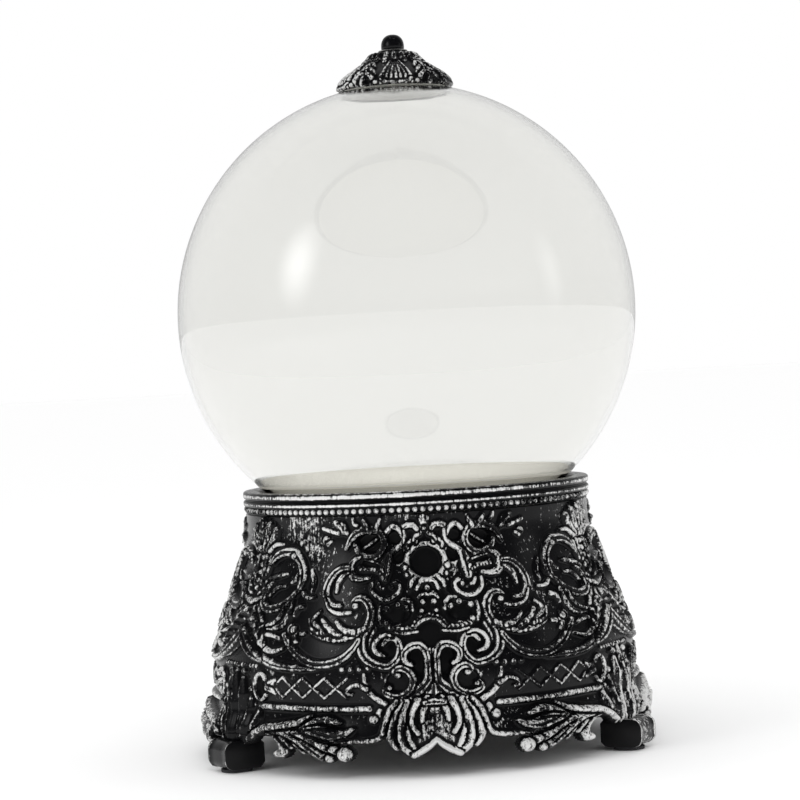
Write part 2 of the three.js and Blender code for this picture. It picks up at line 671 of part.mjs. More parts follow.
for (let i = 0; i < CELL_COUNT; i++) {
  const facing = i % 2 === 0 ? 1 : -1; // the way that the cell's button points
  const y = (i - (CELL_COUNT - 1) / 2) * cellPitch;
  const springEnd = -facing * (pocketLength / 2 - CONTACT_THICKNESS - 2 * GAP);
  const cellFoot = springEnd + facing * (SPRING_LENGTH + GAP);
  const along = (geometry, x) => geometry.rotateY((facing * Math.PI) / 2).translate(x, y, cellHeight);
  add(`cell_${i + 1}`, along(cell(), cellFoot), 0x3a6f4c, 0.4, 0.3);
  add(`contact_spring_${i + 1}`, along(spring(), springEnd), 0xc2c4c6, 0.3, 0.9);
  const plate = new THREE.BoxGeometry(CONTACT_THICKNESS, CONTACT_SIZE, CONTACT_SIZE);
  const wall = facing * (pocketLength / 2 - GAP - CONTACT_THICKNESS / 2);
  add(`contact_plate_${i + 1}`, plate.translate(wall, y, cellHeight), 0xc2c4c6, 0.3, 0.9);
}

// The door closes the plate's opening, and turns on a knuckle at its front edge.
function door() {
  const low = plateBottom + GAP;
  const high = low + DOOR_THICKNESS;
  const panel = slab(2 * (doorHalfLength - openingMargin), doorFront - hingeY - openingMargin, low, high)
    .translate(0, openingMargin / 2, 0);
  const corner = slab(2 * doorHalfLength, 2 * (KNUCKLE_RADIUS + FIT), low - 1, high + 1);
  const cornerShift = (KNUCKLE_LENGTH + 2 * doorHalfLength) / 2;
  const knuckle = new THREE.CylinderGeometry(KNUCKLE_RADIUS, KNUCKLE_RADIUS, KNUCKLE_LENGTH, 20)
    .rotateZ(Math.PI / 2)
    .translate(0, hingeY, hingeZ);
  const bore = new THREE.CylinderGeometry(PIN_RADIUS + GAP, PIN_RADIUS + GAP, KNUCKLE_LENGTH + 2, 16)
    .rotateZ(Math.PI / 2)
    .translate(0, hingeY, hingeZ);
  const sides = [-1, 1].map((side) => corner.clone().translate(side * cornerShift, hingeY, 0));
  const thumb = slab(16, 3, low - 1, low + 0.9).translate(0, doorFront - 6, 0);
  return cut(join(cut(panel, ...sides), knuckle), bore, thumb);
}
add("battery_door", door(), 0x1f1f21, 0.6);

const pin = new THREE.CylinderGeometry(PIN_RADIUS, PIN_RADIUS, KNUCKLE_LENGTH + 2 * PIN_OVERHANG, 12)
  .rotateZ(Math.PI / 2)
  .translate(0, hingeY, hingeZ);
add("door_pin", pin, 0xa8a8a6, 0.3, 0.9);

// ---- Switch ----
const switchFloor = plateTop + GAP;

function switchBody() {
  const flange = slab(SWITCH_FLANGE_LENGTH, SWITCH_WIDTH, switchFloor, switchFloor + SWITCH_FLANGE_THICKNESS);
  const body = slab(SWITCH_LENGTH, SWITCH_WIDTH, switchFloor, switchFloor + SWITCH_HEIGHT);
  const slot = slab(slotLength, slotWidth, switchFloor - 1, switchFloor + SWITCH_HEIGHT / 2)
    .translate(SWITCH_TRAVEL / 2, 0, 0);
  const holes = [-1, 1].map((side) =>
    rod(BOX_SCREW_RADIUS + GAP, switchFloor - 1, switchFloor + SWITCH_FLANGE_THICKNESS + 1, 12)
      .translate(side * switchScrewX, 0, 0),
  );
  return cut(join(body, flange), slot, ...holes).translate(0, switchY, 0);
}
add("switch_body", switchBody(), 0x8f9194, 0.4, 0.7);

const sliderTop = switchFloor + SWITCH_HEIGHT / 2 - GAP;
add(
  "switch_slider",
  slab(SLIDER_LENGTH, SLIDER_WIDTH, plateBottom - SLIDER_REACH, sliderTop).translate(0, switchY, 0),
  0xe8e8e6, 0.5,
);

[-1, 1].forEach((side, i) => {
  const length = SWITCH_FLANGE_THICKNESS + PLATE_THICKNESS;
  const screw = plainScrew(BOX_SCREW_RADIUS, BOARD_SCREW_HEAD_RADIUS, SCREW_HEAD_HEIGHT, length);
  screw.rotateX(Math.PI).translate(side * switchScrewX, switchY, switchFloor + SWITCH_FLANGE_THICKNESS + GAP);
  add(`switch_screw_${i + 1}`, screw, 0xa8a8a6, 0.35, 0.9);
});

// ---- Leads ----
// Each runs from the battery box or the switch, up the inside of the base, to the light board.
const boardLead = boardBottom - GAP;
const switchTop = switchFloor + SWITCH_HEIGHT + GAP;
const boxTop = pocketTop + BOX_WALL + GAP;
add("lead_black", wireAlong([
  [-14, 12, boxTop],
  [-14, 12, boxTop + 6],
  [-22, 16, boxTop + 18],
  [-18, 10, lerp(boxTop, boardLead, 0.7)],
  [-13, 8, boardLead - 6],
  [-13, 8, boardLead],
], LEAD_RADIUS, 18, 8), 0x18181a, 0.6);
add("lead_red", wireAlong([
  [14, 12, boxTop],
  [14, 12, boxTop + 5],
  [12, 28, boxTop + 9],
  [6, switchY - 6, switchTop + 14],
  [3, switchY, switchTop + 8],
  [3, switchY, switchTop],
], LEAD_RADIUS, 18, 8), 0xa3211c, 0.6);
add("lead_switched", wireAlong([
  [-3, switchY, switchTop],
  [-3, switchY, switchTop + 8],
  [-6, switchY - 8, switchTop + 24],
  [4, 20, lerp(switchTop, boardLead, 0.75)],
  [8, 13, boardLead - 6],
  [8, 13, boardLead],
], LEAD_RADIUS, 18, 8), 0xa3211c, 0.6);

export default crystalBall;
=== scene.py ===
# %% [markdown]
# # A crystal ball on a cast, scroll-covered stand
#
# The real object is a stage prop: a clear blown globe, a stand cast in resin and painted gloss
# black with silver brushed over the raised work, and a small finial on top.  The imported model
# gives the sizes and everything that fits or moves.  This script gives each piece its surface.

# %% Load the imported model
import math

import bmesh
import bpy
import numpy as np
from mathutils import Matrix, Vector


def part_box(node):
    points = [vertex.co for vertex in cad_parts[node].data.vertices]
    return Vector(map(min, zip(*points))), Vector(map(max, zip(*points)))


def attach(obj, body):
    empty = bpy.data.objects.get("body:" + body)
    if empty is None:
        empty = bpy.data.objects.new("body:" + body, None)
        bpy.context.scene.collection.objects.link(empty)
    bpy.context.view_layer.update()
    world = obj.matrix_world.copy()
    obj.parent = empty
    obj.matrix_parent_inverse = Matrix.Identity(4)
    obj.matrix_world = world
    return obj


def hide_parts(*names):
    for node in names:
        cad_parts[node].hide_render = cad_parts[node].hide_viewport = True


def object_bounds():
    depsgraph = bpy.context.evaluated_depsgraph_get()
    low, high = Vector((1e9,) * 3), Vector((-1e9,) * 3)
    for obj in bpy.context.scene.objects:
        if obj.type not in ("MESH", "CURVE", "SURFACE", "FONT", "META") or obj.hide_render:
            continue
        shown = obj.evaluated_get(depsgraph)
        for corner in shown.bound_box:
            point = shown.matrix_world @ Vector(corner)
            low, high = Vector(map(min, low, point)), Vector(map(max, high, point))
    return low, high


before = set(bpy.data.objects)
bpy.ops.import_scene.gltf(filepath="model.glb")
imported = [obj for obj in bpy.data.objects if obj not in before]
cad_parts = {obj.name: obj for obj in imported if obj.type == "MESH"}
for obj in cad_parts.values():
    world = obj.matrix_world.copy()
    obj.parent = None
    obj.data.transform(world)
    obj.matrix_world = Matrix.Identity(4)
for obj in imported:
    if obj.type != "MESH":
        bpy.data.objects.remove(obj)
cad_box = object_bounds()
MM = 0.001

# %% [markdown]
# ## Camera
#
# A camera close to a ball shows less than half of it and makes the stand's bands bow.  This one
# stands back with a long lens, a little above the middle of the object, so the ball stays round
# and the bands stay nearly level.  It leans three degrees, so the stand's axis is not quite
# upright in the view.

# %% The camera
CAMERA_DISTANCE = 1.0704
CAMERA_HEIGHT = 0.1634
CAMERA_ROUND = math.radians(1.9)
CAMERA_LEAN = math.radians(3.0)
AIM = Vector((-0.0048, 0.0002, 0.1503))
LENS_MM = 110.25

camera_data = bpy.data.cameras.new("camera")
camera_data.lens = LENS_MM
camera_data.clip_start = 0.01
camera = bpy.data.objects.new("camera", camera_data)
bpy.context.scene.collection.objects.link(camera)
camera.location = (
    -CAMERA_DISTANCE * math.sin(CAMERA_ROUND),
    -CAMERA_DISTANCE * math.cos(CAMERA_ROUND),
    CAMERA_HEIGHT,
)
look = (AIM - camera.location).to_track_quat("-Z", "Y").to_matrix()
camera.rotation_euler = (look @ Matrix.Rotation(-CAMERA_LEAN, 3, "Z")).to_euler()
bpy.context.scene.camera = camera
print("camera at", tuple(round(v, 3) for v in camera.location))

# %% [markdown]
# ## Helpers for finishes
#
# A finish could be set up by hand in the node editor, but a script can be read and run again.
# Colours are written as sRGB hex, the way a paint chart gives them, and turned to linear light
# once, here.  One function adds a node, sets it and links it, so a material reads as a list.


# %% Colour and node helpers
def linear(hex_colour):
    """An sRGB hex colour as linear RGBA."""
    channels = [int(hex_colour[i : i + 2], 16) / 255 for i in (1, 3, 5)]
    lin = [c / 12.92 if c <= 0.04045 else ((c + 0.055) / 1.055) ** 2.4 for c in channels]
    return (*lin, 1.0)


def add_node(tree, kind, props=None, inputs=None):
    """Adds a node, sets its properties, and sets or links its inputs."""
    node = tree.nodes.new("ShaderNode" + kind)
    for key, value in (props or {}).items():
        setattr(node, key, value)
    for key, value in (inputs or {}).items():
        socket = node.inputs[key]
        if isinstance(value, bpy.types.NodeSocket):
            tree.links.new(value, socket)
        else:
            socket.default_value = value
    return node


def new_material(name):
    """A material whose nodes are all still to be added, and its texture coordinates in metres."""
    mat = bpy.data.materials.new(name)
    mat.use_nodes = True
    mat.node_tree.nodes.clear()
    metres = add_node(mat.node_tree, "TexCoord").outputs["Object"]
    return mat, mat.node_tree, metres


def finished(mat, shader):
    """Links a material's shader to its output and hands the material back."""
    add_node(mat.node_tree, "OutputMaterial", inputs={"Surface": shader.outputs[0]})
    return mat


print("silver paint in linear light", [round(v, 3) for v in linear("#e4e4e3")])

# %% [markdown]
# ## The painted casting
#
# The stand is polyester resin, cast in a rubber mould, sprayed gloss black, then dry-brushed:
# a nearly dry brush of silver is dragged down over it, so silver stays on what stands proud and
# leaves streaks on the open walls, and the hollows stay black.  Silver could be painted on by
# hand as an image, but the mesh already knows what stands proud.  Its attribute named "silver"
# says so for each point, and three noises break it up: bristle marks, patches where the brush
# was freshly loaded, and specks.

# %% Painted resin
BRISTLES_PER_MM = 1.1
SPECKS_PER_MM = 0.56
LOADED_PATCHES_PER_MM = 0.034
LACQUER_BLACK = "#09090b"
BRUSHED_SILVER = "#e4e4e3"


def painted_resin():
    """Gloss lacquer that mirrors the room, and a dull silver that only half behaves as metal."""
    mat, tree, metres = new_material("polyester_resin_gloss_black_dry_brushed")
    # The silver attribute holds the dry-brushed silver, plus painted shade on the foot sheaths and a
    # painted reflection on the rim's flat top.
    proud_and_painted_light = add_node(tree, "Attribute", {"attribute_name": "silver"}).outputs["Fac"]
    # A bristle mark is eleven times as long down the casting as it is wide.
    down = add_node(tree, "Mapping", inputs={"Vector": metres, "Scale": (1.0, 1.0, 0.09)})
    bristles = add_node(
        tree,
        "TexNoise",
        inputs={
            "Vector": down.outputs["Vector"],
            "Scale": BRISTLES_PER_MM / MM,
            "Detail": 4.0,
            "Roughness": 0.7,
        },
    )
    loads = add_node(
        tree,
        "TexNoise",
        inputs={"Vector": metres, "Scale": LOADED_PATCHES_PER_MM / MM, "Detail": 2.0},
    )
    specks = add_node(
        tree,
        "TexNoise",
        inputs={"Vector": metres, "Scale": SPECKS_PER_MM / MM, "Detail": 4.0, "Roughness": 0.75},
    )
    amount = -0.55
    for noise, share in ((loads, 1.1), (bristles, 1.1), (specks, 1.3)):
        amount = add_node(
            tree,
            "Math",
            {"operation": "MULTIPLY_ADD"},
            {0: noise.outputs["Fac"], 1: share, 2: amount},
        ).outputs[0]
    amount = add_node(tree, "Math", {"operation": "ADD"}, {0: proud_and_painted_light, 1: amount})
    mask = add_node(
        tree,
        "MapRange",
        {"interpolation_type": "SMOOTHSTEP"},
        {"Value": amount.outputs[0], "From Min": 1.77, "From Max": 2.03},
    ).outputs["Result"]
    colour = add_node(
        tree,
        "Mix",
        {"data_type": "RGBA"},
        {0: mask, 6: linear(LACQUER_BLACK), 7: linear(BRUSHED_SILVER)},
    )
    metal = add_node(tree, "Math", {"operation": "MULTIPLY"}, {0: mask, 1: 0.45})
    # The lacquer doesn't reach into the deep hollows, so they stay matt and look like holes.
    matt = add_node(
        tree,
        "MapRange",
        inputs={"Value": proud_and_painted_light, "From Min": -0.2, "From Max": 0.25, "To Min": 0.25, "To Max": 0.0},
    )
    rough = add_node(
        tree,
        "Math",
        {"operation": "MULTIPLY_ADD", "use_clamp": True},
        {0: mask, 1: 0.21, 2: matt.outputs["Result"]},
    )
    rough = add_node(
        tree, "Math", {"operation": "ADD", "use_clamp": True}, {0: rough.outputs[0], 1: 0.24}
    )
    bump = add_node(
        tree,
        "Bump",
        inputs={"Height": bristles.outputs["Fac"], "Strength": 0.25, "Distance": 0.15 * MM},
    )
    shader = add_node(
        tree,
        "BsdfPrincipled",
        inputs={
            "Base Color": colour.outputs[2],
            "Metallic": metal.outputs[0],
            "Roughness": rough.outputs[0],
            "Normal": bump.outputs["Normal"],
            "Specular IOR Level": 0.2,
        },
    )
    return finished(mat, shader)


resin = painted_resin()
print("made", resin.name)

# %% [markdown]
# ## The stand's plain shape
#
# Under its scrolls the stand is a simple waisted drum.  Its radius at any height is one smooth
# curve between the belly and the waist, with a flare at the skirt; all its sizes are read from
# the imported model.  "Across" is measured round the wall at a radius of 85 mm from the middle of a
# face, so one drawing serves all three faces and both of their mirrored halves.

# %% The stand's outline
AROUND = 85.0
rim_low, rim_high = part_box("rim_ring")
plate_low, plate_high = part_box("bottom_plate")
RIM_TOP = rim_high[2] / MM
RIM_FOOT = rim_low[2] / MM
RIM_RADIUS = rim_high[0] / MM
BELLY_RADIUS = plate_high[0] / MM + 4.5
WAIST_RADIUS = RIM_RADIUS - 1.2
WAIST_HEIGHT = RIM_TOP - 14.2
BELLY_HEIGHT = 36.0
SKIRT_FOOT = plate_low[2] / MM - 2.8
SKIRT_FLARE = 2.8
BAR_HEIGHT = 28.7
FACES = [math.radians(turn) for turn in (0, 120, 240)]
CORNERS = [turn + math.radians(60) for turn in FACES]


def smoothstep(value, low, high):
    """A soft step from 0 to 1 between two values."""
    t = np.clip((value - low) / (high - low), 0, 1)
    return t * t * (3 - 2 * t)


def wall_radius(z):
    """The plain wall's radius at a height, all in millimetres."""
    z = np.asarray(z, float)
    waist = smoothstep(z, BELLY_HEIGHT, WAIST_HEIGHT)
    skirt = SKIRT_FLARE * (1 - smoothstep(z, SKIRT_FOOT, BAR_HEIGHT - 2))
    return BELLY_RADIUS + (WAIST_RADIUS - BELLY_RADIUS) * waist + skirt


def upright(radius, angle, height):
    """Points in space from radius, angle round the axis and height, all in one shape."""
    return np.stack(np.broadcast_arrays(radius * np.sin(angle), -radius * np.cos(angle), height), -1)


print("rim radius", round(RIM_RADIUS, 2), "belly", round(BELLY_RADIUS, 2))

# %% [markdown]
# ## Building meshes from numbers
#
# Blender's own tools could turn a profile or join parts, but they need edit mode and a selection.
# Points worked out with numpy and handed to from_pydata give the same meshes with nothing
# selected.  A face that winds the wrong way makes glass look solid, so each closed mesh is
# checked by the sign of its volume.

# %% Mesh makers
TINY = 1e-6


def grid_faces(rows, columns):
    """Faces between rings of points; the last ring joins the first."""
    index = np.arange(rows * columns).reshape(rows, columns)
    index = np.hstack([index, index[:, :1]])
    quads = np.stack([index[:-1, :-1], index[:-1, 1:], index[1:, 1:], index[1:, :-1]], -1)
    return quads.reshape(-1, 4)


def tube_faces(rows, columns):
    """Faces of rings whose last ring also joins the first, as in a closed ring or shell."""
    return grid_faces(rows + 1, columns) % (rows * columns)


def inside_out(points, faces):
    """Whether a closed mesh's faces point inwards, told by the sign of its volume."""
    fans = [(face[0], face[k], face[k + 1]) for face in faces for k in range(1, len(face) - 1)]
    corners = np.array(fans)
    a, b, c = (points[corners[:, k]] for k in range(3))
    return float(np.einsum("ij,ij->", a, np.cross(b, c))) < 0


def new_piece(name, points, faces, mat, silver=None, weld=False):
    """Makes a mesh object from points in millimetres, riding on the base."""
    mesh = bpy.data.meshes.new(name)
    points = np.asarray(points, np.float64) * MM
    faces = [list(map(int, face)) for face in faces]
    if inside_out(points, faces):
        faces = [face[::-1] for face in faces]
    mesh.from_pydata(points.tolist(), [], faces)
    mesh.materials.append(mat)
    if silver is not None:
        layer = mesh.attributes.new("silver", "FLOAT", "POINT")
        layer.data.foreach_set("value", np.asarray(silver, np.float32))
    if weld:
        bm = bmesh.new()
        bm.from_mesh(mesh)
        bmesh.ops.remove_doubles(bm, verts=bm.verts, dist=TINY)
        bm.to_mesh(mesh)
        bm.free()
    mesh.polygons.foreach_set("use_smooth", [True] * len(mesh.polygons))
    mesh.update()
    piece = bpy.data.objects.new(name, mesh)
    bpy.context.scene.collection.objects.link(piece)
    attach(piece, "base")
    return piece


print("meshes are welded to", TINY, "m")

# %% [markdown]
# ### Turned shapes, balls and joined parts
#
# Most of this object is turned or beaded, so a turning, a small ball and a way to join parts into
# one mesh make nearly everything.  A pearl is a low ball: it is only two millimetres across.


# %% Turning, beads and joining
def turned(profile, segments):
    """Points and faces of a closed profile of (radius, height) turned about the axis."""
    profile = np.asarray(profile, float)
    angle = np.linspace(0, 2 * math.pi, segments, endpoint=False)
    points = upright(profile[:, :1], angle, profile[:, 1:])
    return points.reshape(-1, 3), tube_faces(len(profile), segments)


def ball_points(centre, radius, rings=6, segments=10):
    """A low ball's points and faces, for pearls and beads."""
    up = np.linspace(-math.pi / 2, math.pi / 2, rings + 1)[1:-1, None]
    around = np.linspace(0, 2 * math.pi, segments, endpoint=False)
    level = np.cos(up)
    rows = np.broadcast_arrays(level * np.cos(around), level * np.sin(around), np.sin(up))
    grid = np.stack(rows, -1).reshape(-1, 3)
    points = np.vstack([grid, [[0, 0, -1], [0, 0, 1]]]) * radius + centre
    faces = grid_faces(len(up), segments).tolist()
    bottom = len(grid)
    last = bottom - segments
    for k in range(segments):
        nxt = (k + 1) % segments
        faces.append([bottom, nxt, k])
        faces.append([bottom + 1, last + k, last + nxt])
    return points, faces


def joined(parts):
    """Several (points, faces, silver) as one."""
    points, faces, silver, count = [], [], [], 0
    for some_points, some_faces, some_silver in parts:
        points.append(np.asarray(some_points, float))
        faces += [[count + k for k in face] for face in np.asarray(some_faces, object).tolist()]
        silver.append(np.broadcast_to(some_silver, len(some_points)))
        count += len(some_points)
    return np.vstack(points), faces, np.concatenate(silver)


pearl_points, pearl_faces = ball_points((0, 0, 0), 1.0)
print("one pearl has", len(pearl_points), "points and", len(pearl_faces), "faces")

# %% [markdown]
# ## The scroll-work as a height map
#
# The real stand is cast in a flexible mould, so its scrolls, leaves and beads are one skin with
# the wall.  They could be modelled as curves with thickness, but those would lie on the wall like
# wire.  A height map is closer to a casting: a fine grid laid on the wall, where every grid point
# stands some way out, and strands are drawn as paths that push the grid up.  One half of one
# face is carved; its mirror image and two turned copies of both make the whole drum, as the model
# maker's pattern did.
#
# First come the shapes that everything is drawn with: a smooth path through a few points, part of
# an oval, and a blur that takes the hard edge off the carving.

# %% Paths and blur
GRID_STEP = 0.42
PATH_STEP = 0.3
FACE_HALF = AROUND * math.radians(60)


def smooth_path(points, step=PATH_STEP):
    """A Catmull-Rom curve through a few chosen points, cut into even steps."""
    p = np.asarray(points, float)
    p = np.vstack([2 * p[0] - p[1], p, 2 * p[-1] - p[-2]])
    t = np.linspace(0, 1, 14, endpoint=False)[:, None]
    pieces = []
    for a, b, c, d in zip(p, p[1:], p[2:], p[3:]):
        bend = t * (3 * (b - c) + d - a)
        pieces.append(b + 0.5 * t * ((c - a) + t * ((2 * a - 5 * b + 4 * c - d) + bend)))
    curve = np.vstack(pieces + [p[-2:-1]])
    length = np.concatenate([[0], np.cumsum(np.linalg.norm(np.diff(curve, axis=0), axis=1))])
    even = np.linspace(0, length[-1], max(4, int(length[-1] / step)) + 1)
    return np.column_stack([np.interp(even, length, curve[:, k]) for k in range(2)])


def oval(across, height, wide, tall, start, stop):
    """Points round part of an oval, its angles in degrees."""
    turn = np.radians(np.linspace(start, stop, 4 + int(abs(stop - start) / 30)))
    return np.column_stack([across + wide * np.cos(turn), height + tall * np.sin(turn)])


def soften(grid, sigma, step):
    """Blurs a grid; its edges are mirror lines."""
    reach = max(1, int(3 * sigma / step))
    weights = np.exp(-0.5 * (np.arange(-reach, reach + 1) * step / sigma) ** 2)
    weights /= weights.sum()
    for axis in (0, 1):
        edges = [(reach, reach) if k == axis else (0, 0) for k in (0, 1)]
        padded = np.pad(grid, edges, mode="reflect")
        size = grid.shape[axis]
        shifted = (np.take(padded, range(k, k + size), axis) for k in range(len(weights)))
        grid = sum(w * moved for w, moved in zip(weights, shifted))
    return grid


print("one face is", round(2 * FACE_HALF, 1), "mm across")

# %% [markdown]
# ### Strand forms
#
# A carver's strands differ in section: a round cord, a channel with two raised edges, flutes, a
# leaf with a middle vein, a blade with a sharp crest, a twisted rope, or a flat strap.  Each form
# is one short function, so a new one costs a line.

# %% Sections of the strands
def vein(t):
    """The narrow ridge on a leaf's middle line."""
    return np.exp(-((t / 0.2) ** 2))


# Each gives a height, as a share, from t: 0 on the strand's middle line, 1 at its edge.
FORMS = {
    "round": lambda t, side, along: (1 - t**2) ** 0.6,
    "channel": lambda t, side, along: (1 - t**5) * (0.5 + 0.5 * smoothstep(t, 0.05, 0.62)),
    "fluted": lambda t, side, along: (1 - t**4) ** 0.7
    * (0.62 + 0.38 * np.abs(np.sin(math.pi * 1.5 * side * t))),
    "leaf": lambda t, side, along: (1 - t**2) ** 0.5
    * (0.66 + 0.26 * vein(t) + 0.1 * np.cos(2 * math.pi * (along * 0.22 - 1.1 * t))),
    "blade": lambda t, side, along: (1 - t**2) ** 0.5 * (0.8 + 0.2 * vein(t)),
    "rope": lambda t, side, along: (1 - t**2) ** 0.6
    * (0.88 + 0.12 * np.sin(along * 2.6 + 1.5 * side * t)),
    "flat": lambda t, side, along: 1 - t**8,
}
print("strand forms", list(FORMS))

# %% [markdown]
# ### The panel that is carved
#
# The panel holds the grid and the four cuts that all the work is made of: strand, bead, a string
# of beads, and hollow.  Every strand also cuts a thin valley beside it, as a carver does to part
# it from its neighbour.  Without the valleys, strands that cross would melt together.

# %% The panel and its four cuts
FULLNESS = 1.14
STRAND_FLANK = 0.34
VALLEY = 0.4


def spread(values, along):
    """Values given at even places along a strand, read at every path point."""
    return np.interp(along, np.linspace(0, 1, np.size(values)), np.atleast_1d(values))


class Panel:
    """A grid of heights above a wall, in millimetres, with the four cuts."""

    def __init__(self, across, height):
        self.across_line, self.height_line = across, height
        self.step = across[1] - across[0]
        self.across, self.height = np.meshgrid(across, height, indexing="ij")
        self.lift = np.zeros_like(self.across)

    def window(self, low, high):
        """The part of the grid between two corners."""
        a = np.searchsorted(self.across_line, [low[0], high[0]])
        h = np.searchsorted(self.height_line, [low[1], high[1]])
        return slice(a[0], a[1] + 1), slice(h[0], h[1] + 1)

    def nearest(self, path, half, margin):
        """For each grid point near a path: which path point, how far off, and on which side."""
        spare = half.max() + margin
        window = self.window(path.min(0) - spare, path.max(0) + spare)
        spots = np.stack([self.across[window], self.height[window]], -1)
        away = np.linalg.norm(spots[:, :, None, :] - path, axis=-1) / half
        near = away.argmin(-1)
        share = np.take_along_axis(away, near[..., None], -1)[..., 0]
        run = np.gradient(path, axis=0)[near]
        gone = spots - path[near]
        side = np.sign(run[..., 0] * gone[..., 1] - run[..., 1] * gone[..., 0])
        return window, near, share, side

    def strand(self, points, width, rise=2.2, form="round", gap=VALLEY, floor=0.0):
        """Raises a strand along a path, and cuts a thin valley beside it."""
        path = smooth_path(points)
        along = np.linspace(0, 1, len(path))
        half = spread(width, along) / 2 * FULLNESS + STRAND_FLANK
        tall = spread(rise, along)
        window, near, share, side = self.nearest(path, half, gap)
        level = self.lift[window]
        inside = share < 1
        raised = tall[near] * FORMS[form](np.minimum(share, 1), side, near * PATH_STEP)
        beside = ~inside & ((share - 1) * half[near] < gap)
        level[beside] = np.minimum(level[beside], floor)
        settled = np.minimum(level, 0.45 * raised + floor)
        level[inside] = np.maximum(settled, raised + floor)[inside]

    def bead(self, across, height, radius, rise=None):
        """Raises a ball."""
        rise = rise or radius * 1.25
        reach = radius + 0.5
        window = self.window((across - reach, height - reach), (across + reach, height + reach))
        away = np.hypot(self.across[window] - across, self.height[window] - height) / radius
        level = self.lift[window]
        ring = (away >= 1) & (away < 1 + VALLEY / radius)
        level[ring] = np.minimum(level[ring], 0.0)
        inside = away < 1
        level[inside] = rise * np.sqrt(1 - away[inside] ** 2)

    def beads(self, points, radius, pitch):
        """Strings balls along a path."""
        path = smooth_path(points)
        count = max(1, round(len(path) * PATH_STEP / pitch))
        for k in range(count + 1):
            spot = path[round(k * (len(path) - 1) / count)]
            self.bead(spot[0], spot[1], radius)

    def hollow(self, across, height, wide, tall, depth):
        """Presses an oval hollow into the wall."""
        off = np.hypot((self.across - across) / wide, (self.height - height) / tall)
        self.lift = self.lift - depth * (1 - smoothstep(off, 0.8, 1.0))


print("a strand is", STRAND_FLANK * 2, "mm wider than drawn")

# %% Lay out the stand's panel
HANG_FOOT = 6.4
hang_steps = round((SKIRT_FOOT - HANG_FOOT) / GRID_STEP)
wall_steps = round((RIM_FOOT - SKIRT_FOOT) / GRID_STEP)
panel = Panel(
    np.linspace(0, FACE_HALF, round(FACE_HALF / GRID_STEP) + 1),
    np.concatenate(
        [
            np.linspace(HANG_FOOT, SKIRT_FOOT, hang_steps, endpoint=False),
            np.linspace(SKIRT_FOOT, RIM_FOOT, wall_steps + 1),
        ]
    ),
)
print("half face grid", panel.lift.shape)

# %% [markdown]
# ### The hollows that stay black
#
# The brush never reaches the deep places, so they read as holes although the casting is whole.
# They are pressed in first, and the scrolls are then drawn over their edges.  Points are (across,
# height) in millimetres on the right half; the left half mirrors them.

# %% Press in the hollows
HOLLOWS = [
    (0, 85.3, 8.2, 7.0, 3.0),
    (26, 93.5, 6.5, 4.6, 2.6),
    (14, 95.2, 4.0, 3.0, 2.2),
    (12.5, 88, 3.2, 3.6, 2.2),
    (25, 85.2, 5.0, 1.6, 1.8),
    (13.5, 65, 6.5, 4.0, 1.8),
    (17.0, 52.0, 5.0, 4.6, 1.8),
    (5.5, 46, 3.8, 7.0, 2.0),
    (13, 38.5, 5.0, 4.6, 1.8),
    (4, 58, 8.0, 20.0, 1.2),
]
for across, height, wide, tall, depth in HOLLOWS:
    panel.hollow(across, height, wide, tall, depth)
print("hollows", len(HOLLOWS), "deepest", panel.lift.min().round(2), "mm")

# %% [markdown]
# ### The cartouche in the middle of each face
#
# The middle of a face holds a ring round a deep hollow, with a crest over it, a horned ring and a
# collar beside it, and curls and small beads under it.  Each strand is a path, its widths along
# the path, its height and its form; a strand drawn later lies over an earlier one.

# %% Carve the ring and its crest
panel.strand(oval(0, 85.3, 8.7, 7.3, -100, 260), 1.5, 2.6)
panel.bead(9.4, 83.4, 1.5)
panel.bead(8.6, 80.4, 1.1)
panel.strand([(4, 93.4), (6.3, 93.9), (8, 92.6), (7.6, 91)], (1.6, 1.3, 0.7), 2.0)
panel.strand([(0, 99.6), (0.2, 104)], (3.0, 4.6, 4.4, 2.0), 2.4, "leaf")
panel.bead(0, 99, 1.2)
panel.bead(3, 98, 1.2)
panel.strand([(2.2, 96.8), (4.2, 95.6), (5.2, 93.8)], (1.6, 1.2, 0.6), 2.0)
panel.strand(
    [(3.4, 98.6), (5, 100), (8, 100), (9.9, 98.6), (10, 96.4)],
    (1.8, 2.2, 1.6), 2.2, "fluted",
)
panel.strand([(10.2, 96), (12, 99), (15, 99.9), (18.2, 97.2)], (1.2, 1.8, 1.3), 2.2)
panel.strand(
    [(9.2, 98), (9.3, 94.4), (12, 91.6), (15.4, 89.6), (17.2, 86)],
    (1.2, 1.5, 1.7, 2.4), 2.4, gap=0,
)
panel.strand(
    [(16.6, 88.5), (17.8, 85), (18.3, 81), (18.4, 79)],
    (2.4, 3.8, 3.9, 2.0), 2.8, "channel", gap=0,
)
print("ring and crest done, up to", panel.lift.max().round(2), "mm proud")

# %% Carve the horned ring and its collar
# The horned ring.
panel.strand(
    [(32.3, 93.2), (30.8, 90.2), (27.5, 88), (24, 87.6), (20.6, 89.4), (18.6, 92.6), (19.2, 96)],
    (0.9, 1.8, 2.2, 2.3, 2.3, 2.0), 2.8, "channel",
)
panel.strand(
    [(19, 95.6), (21, 98.2), (25, 99.1), (29.5, 98.6), (33.5, 96.2), (36.6, 91.6)],
    (1.6, 2.2, 2.7, 2.7, 2.1, 0.9), 3.0, "channel", gap=0,
)
panel.strand([(22.2, 98.8), (21.2, 101), (20.2, 103.2)], (2.6, 1.8, 0.5), 2.6, gap=0)
panel.strand([(25.4, 98.8), (27, 101), (28.2, 103)], (2.6, 1.8, 0.5), 2.6, gap=0)
panel.strand([(21.6, 95.4), (25, 93.4), (29, 91.2)], (0.7, 1.1, 0.8), 1.3, gap=0.2, floor=-1.2)
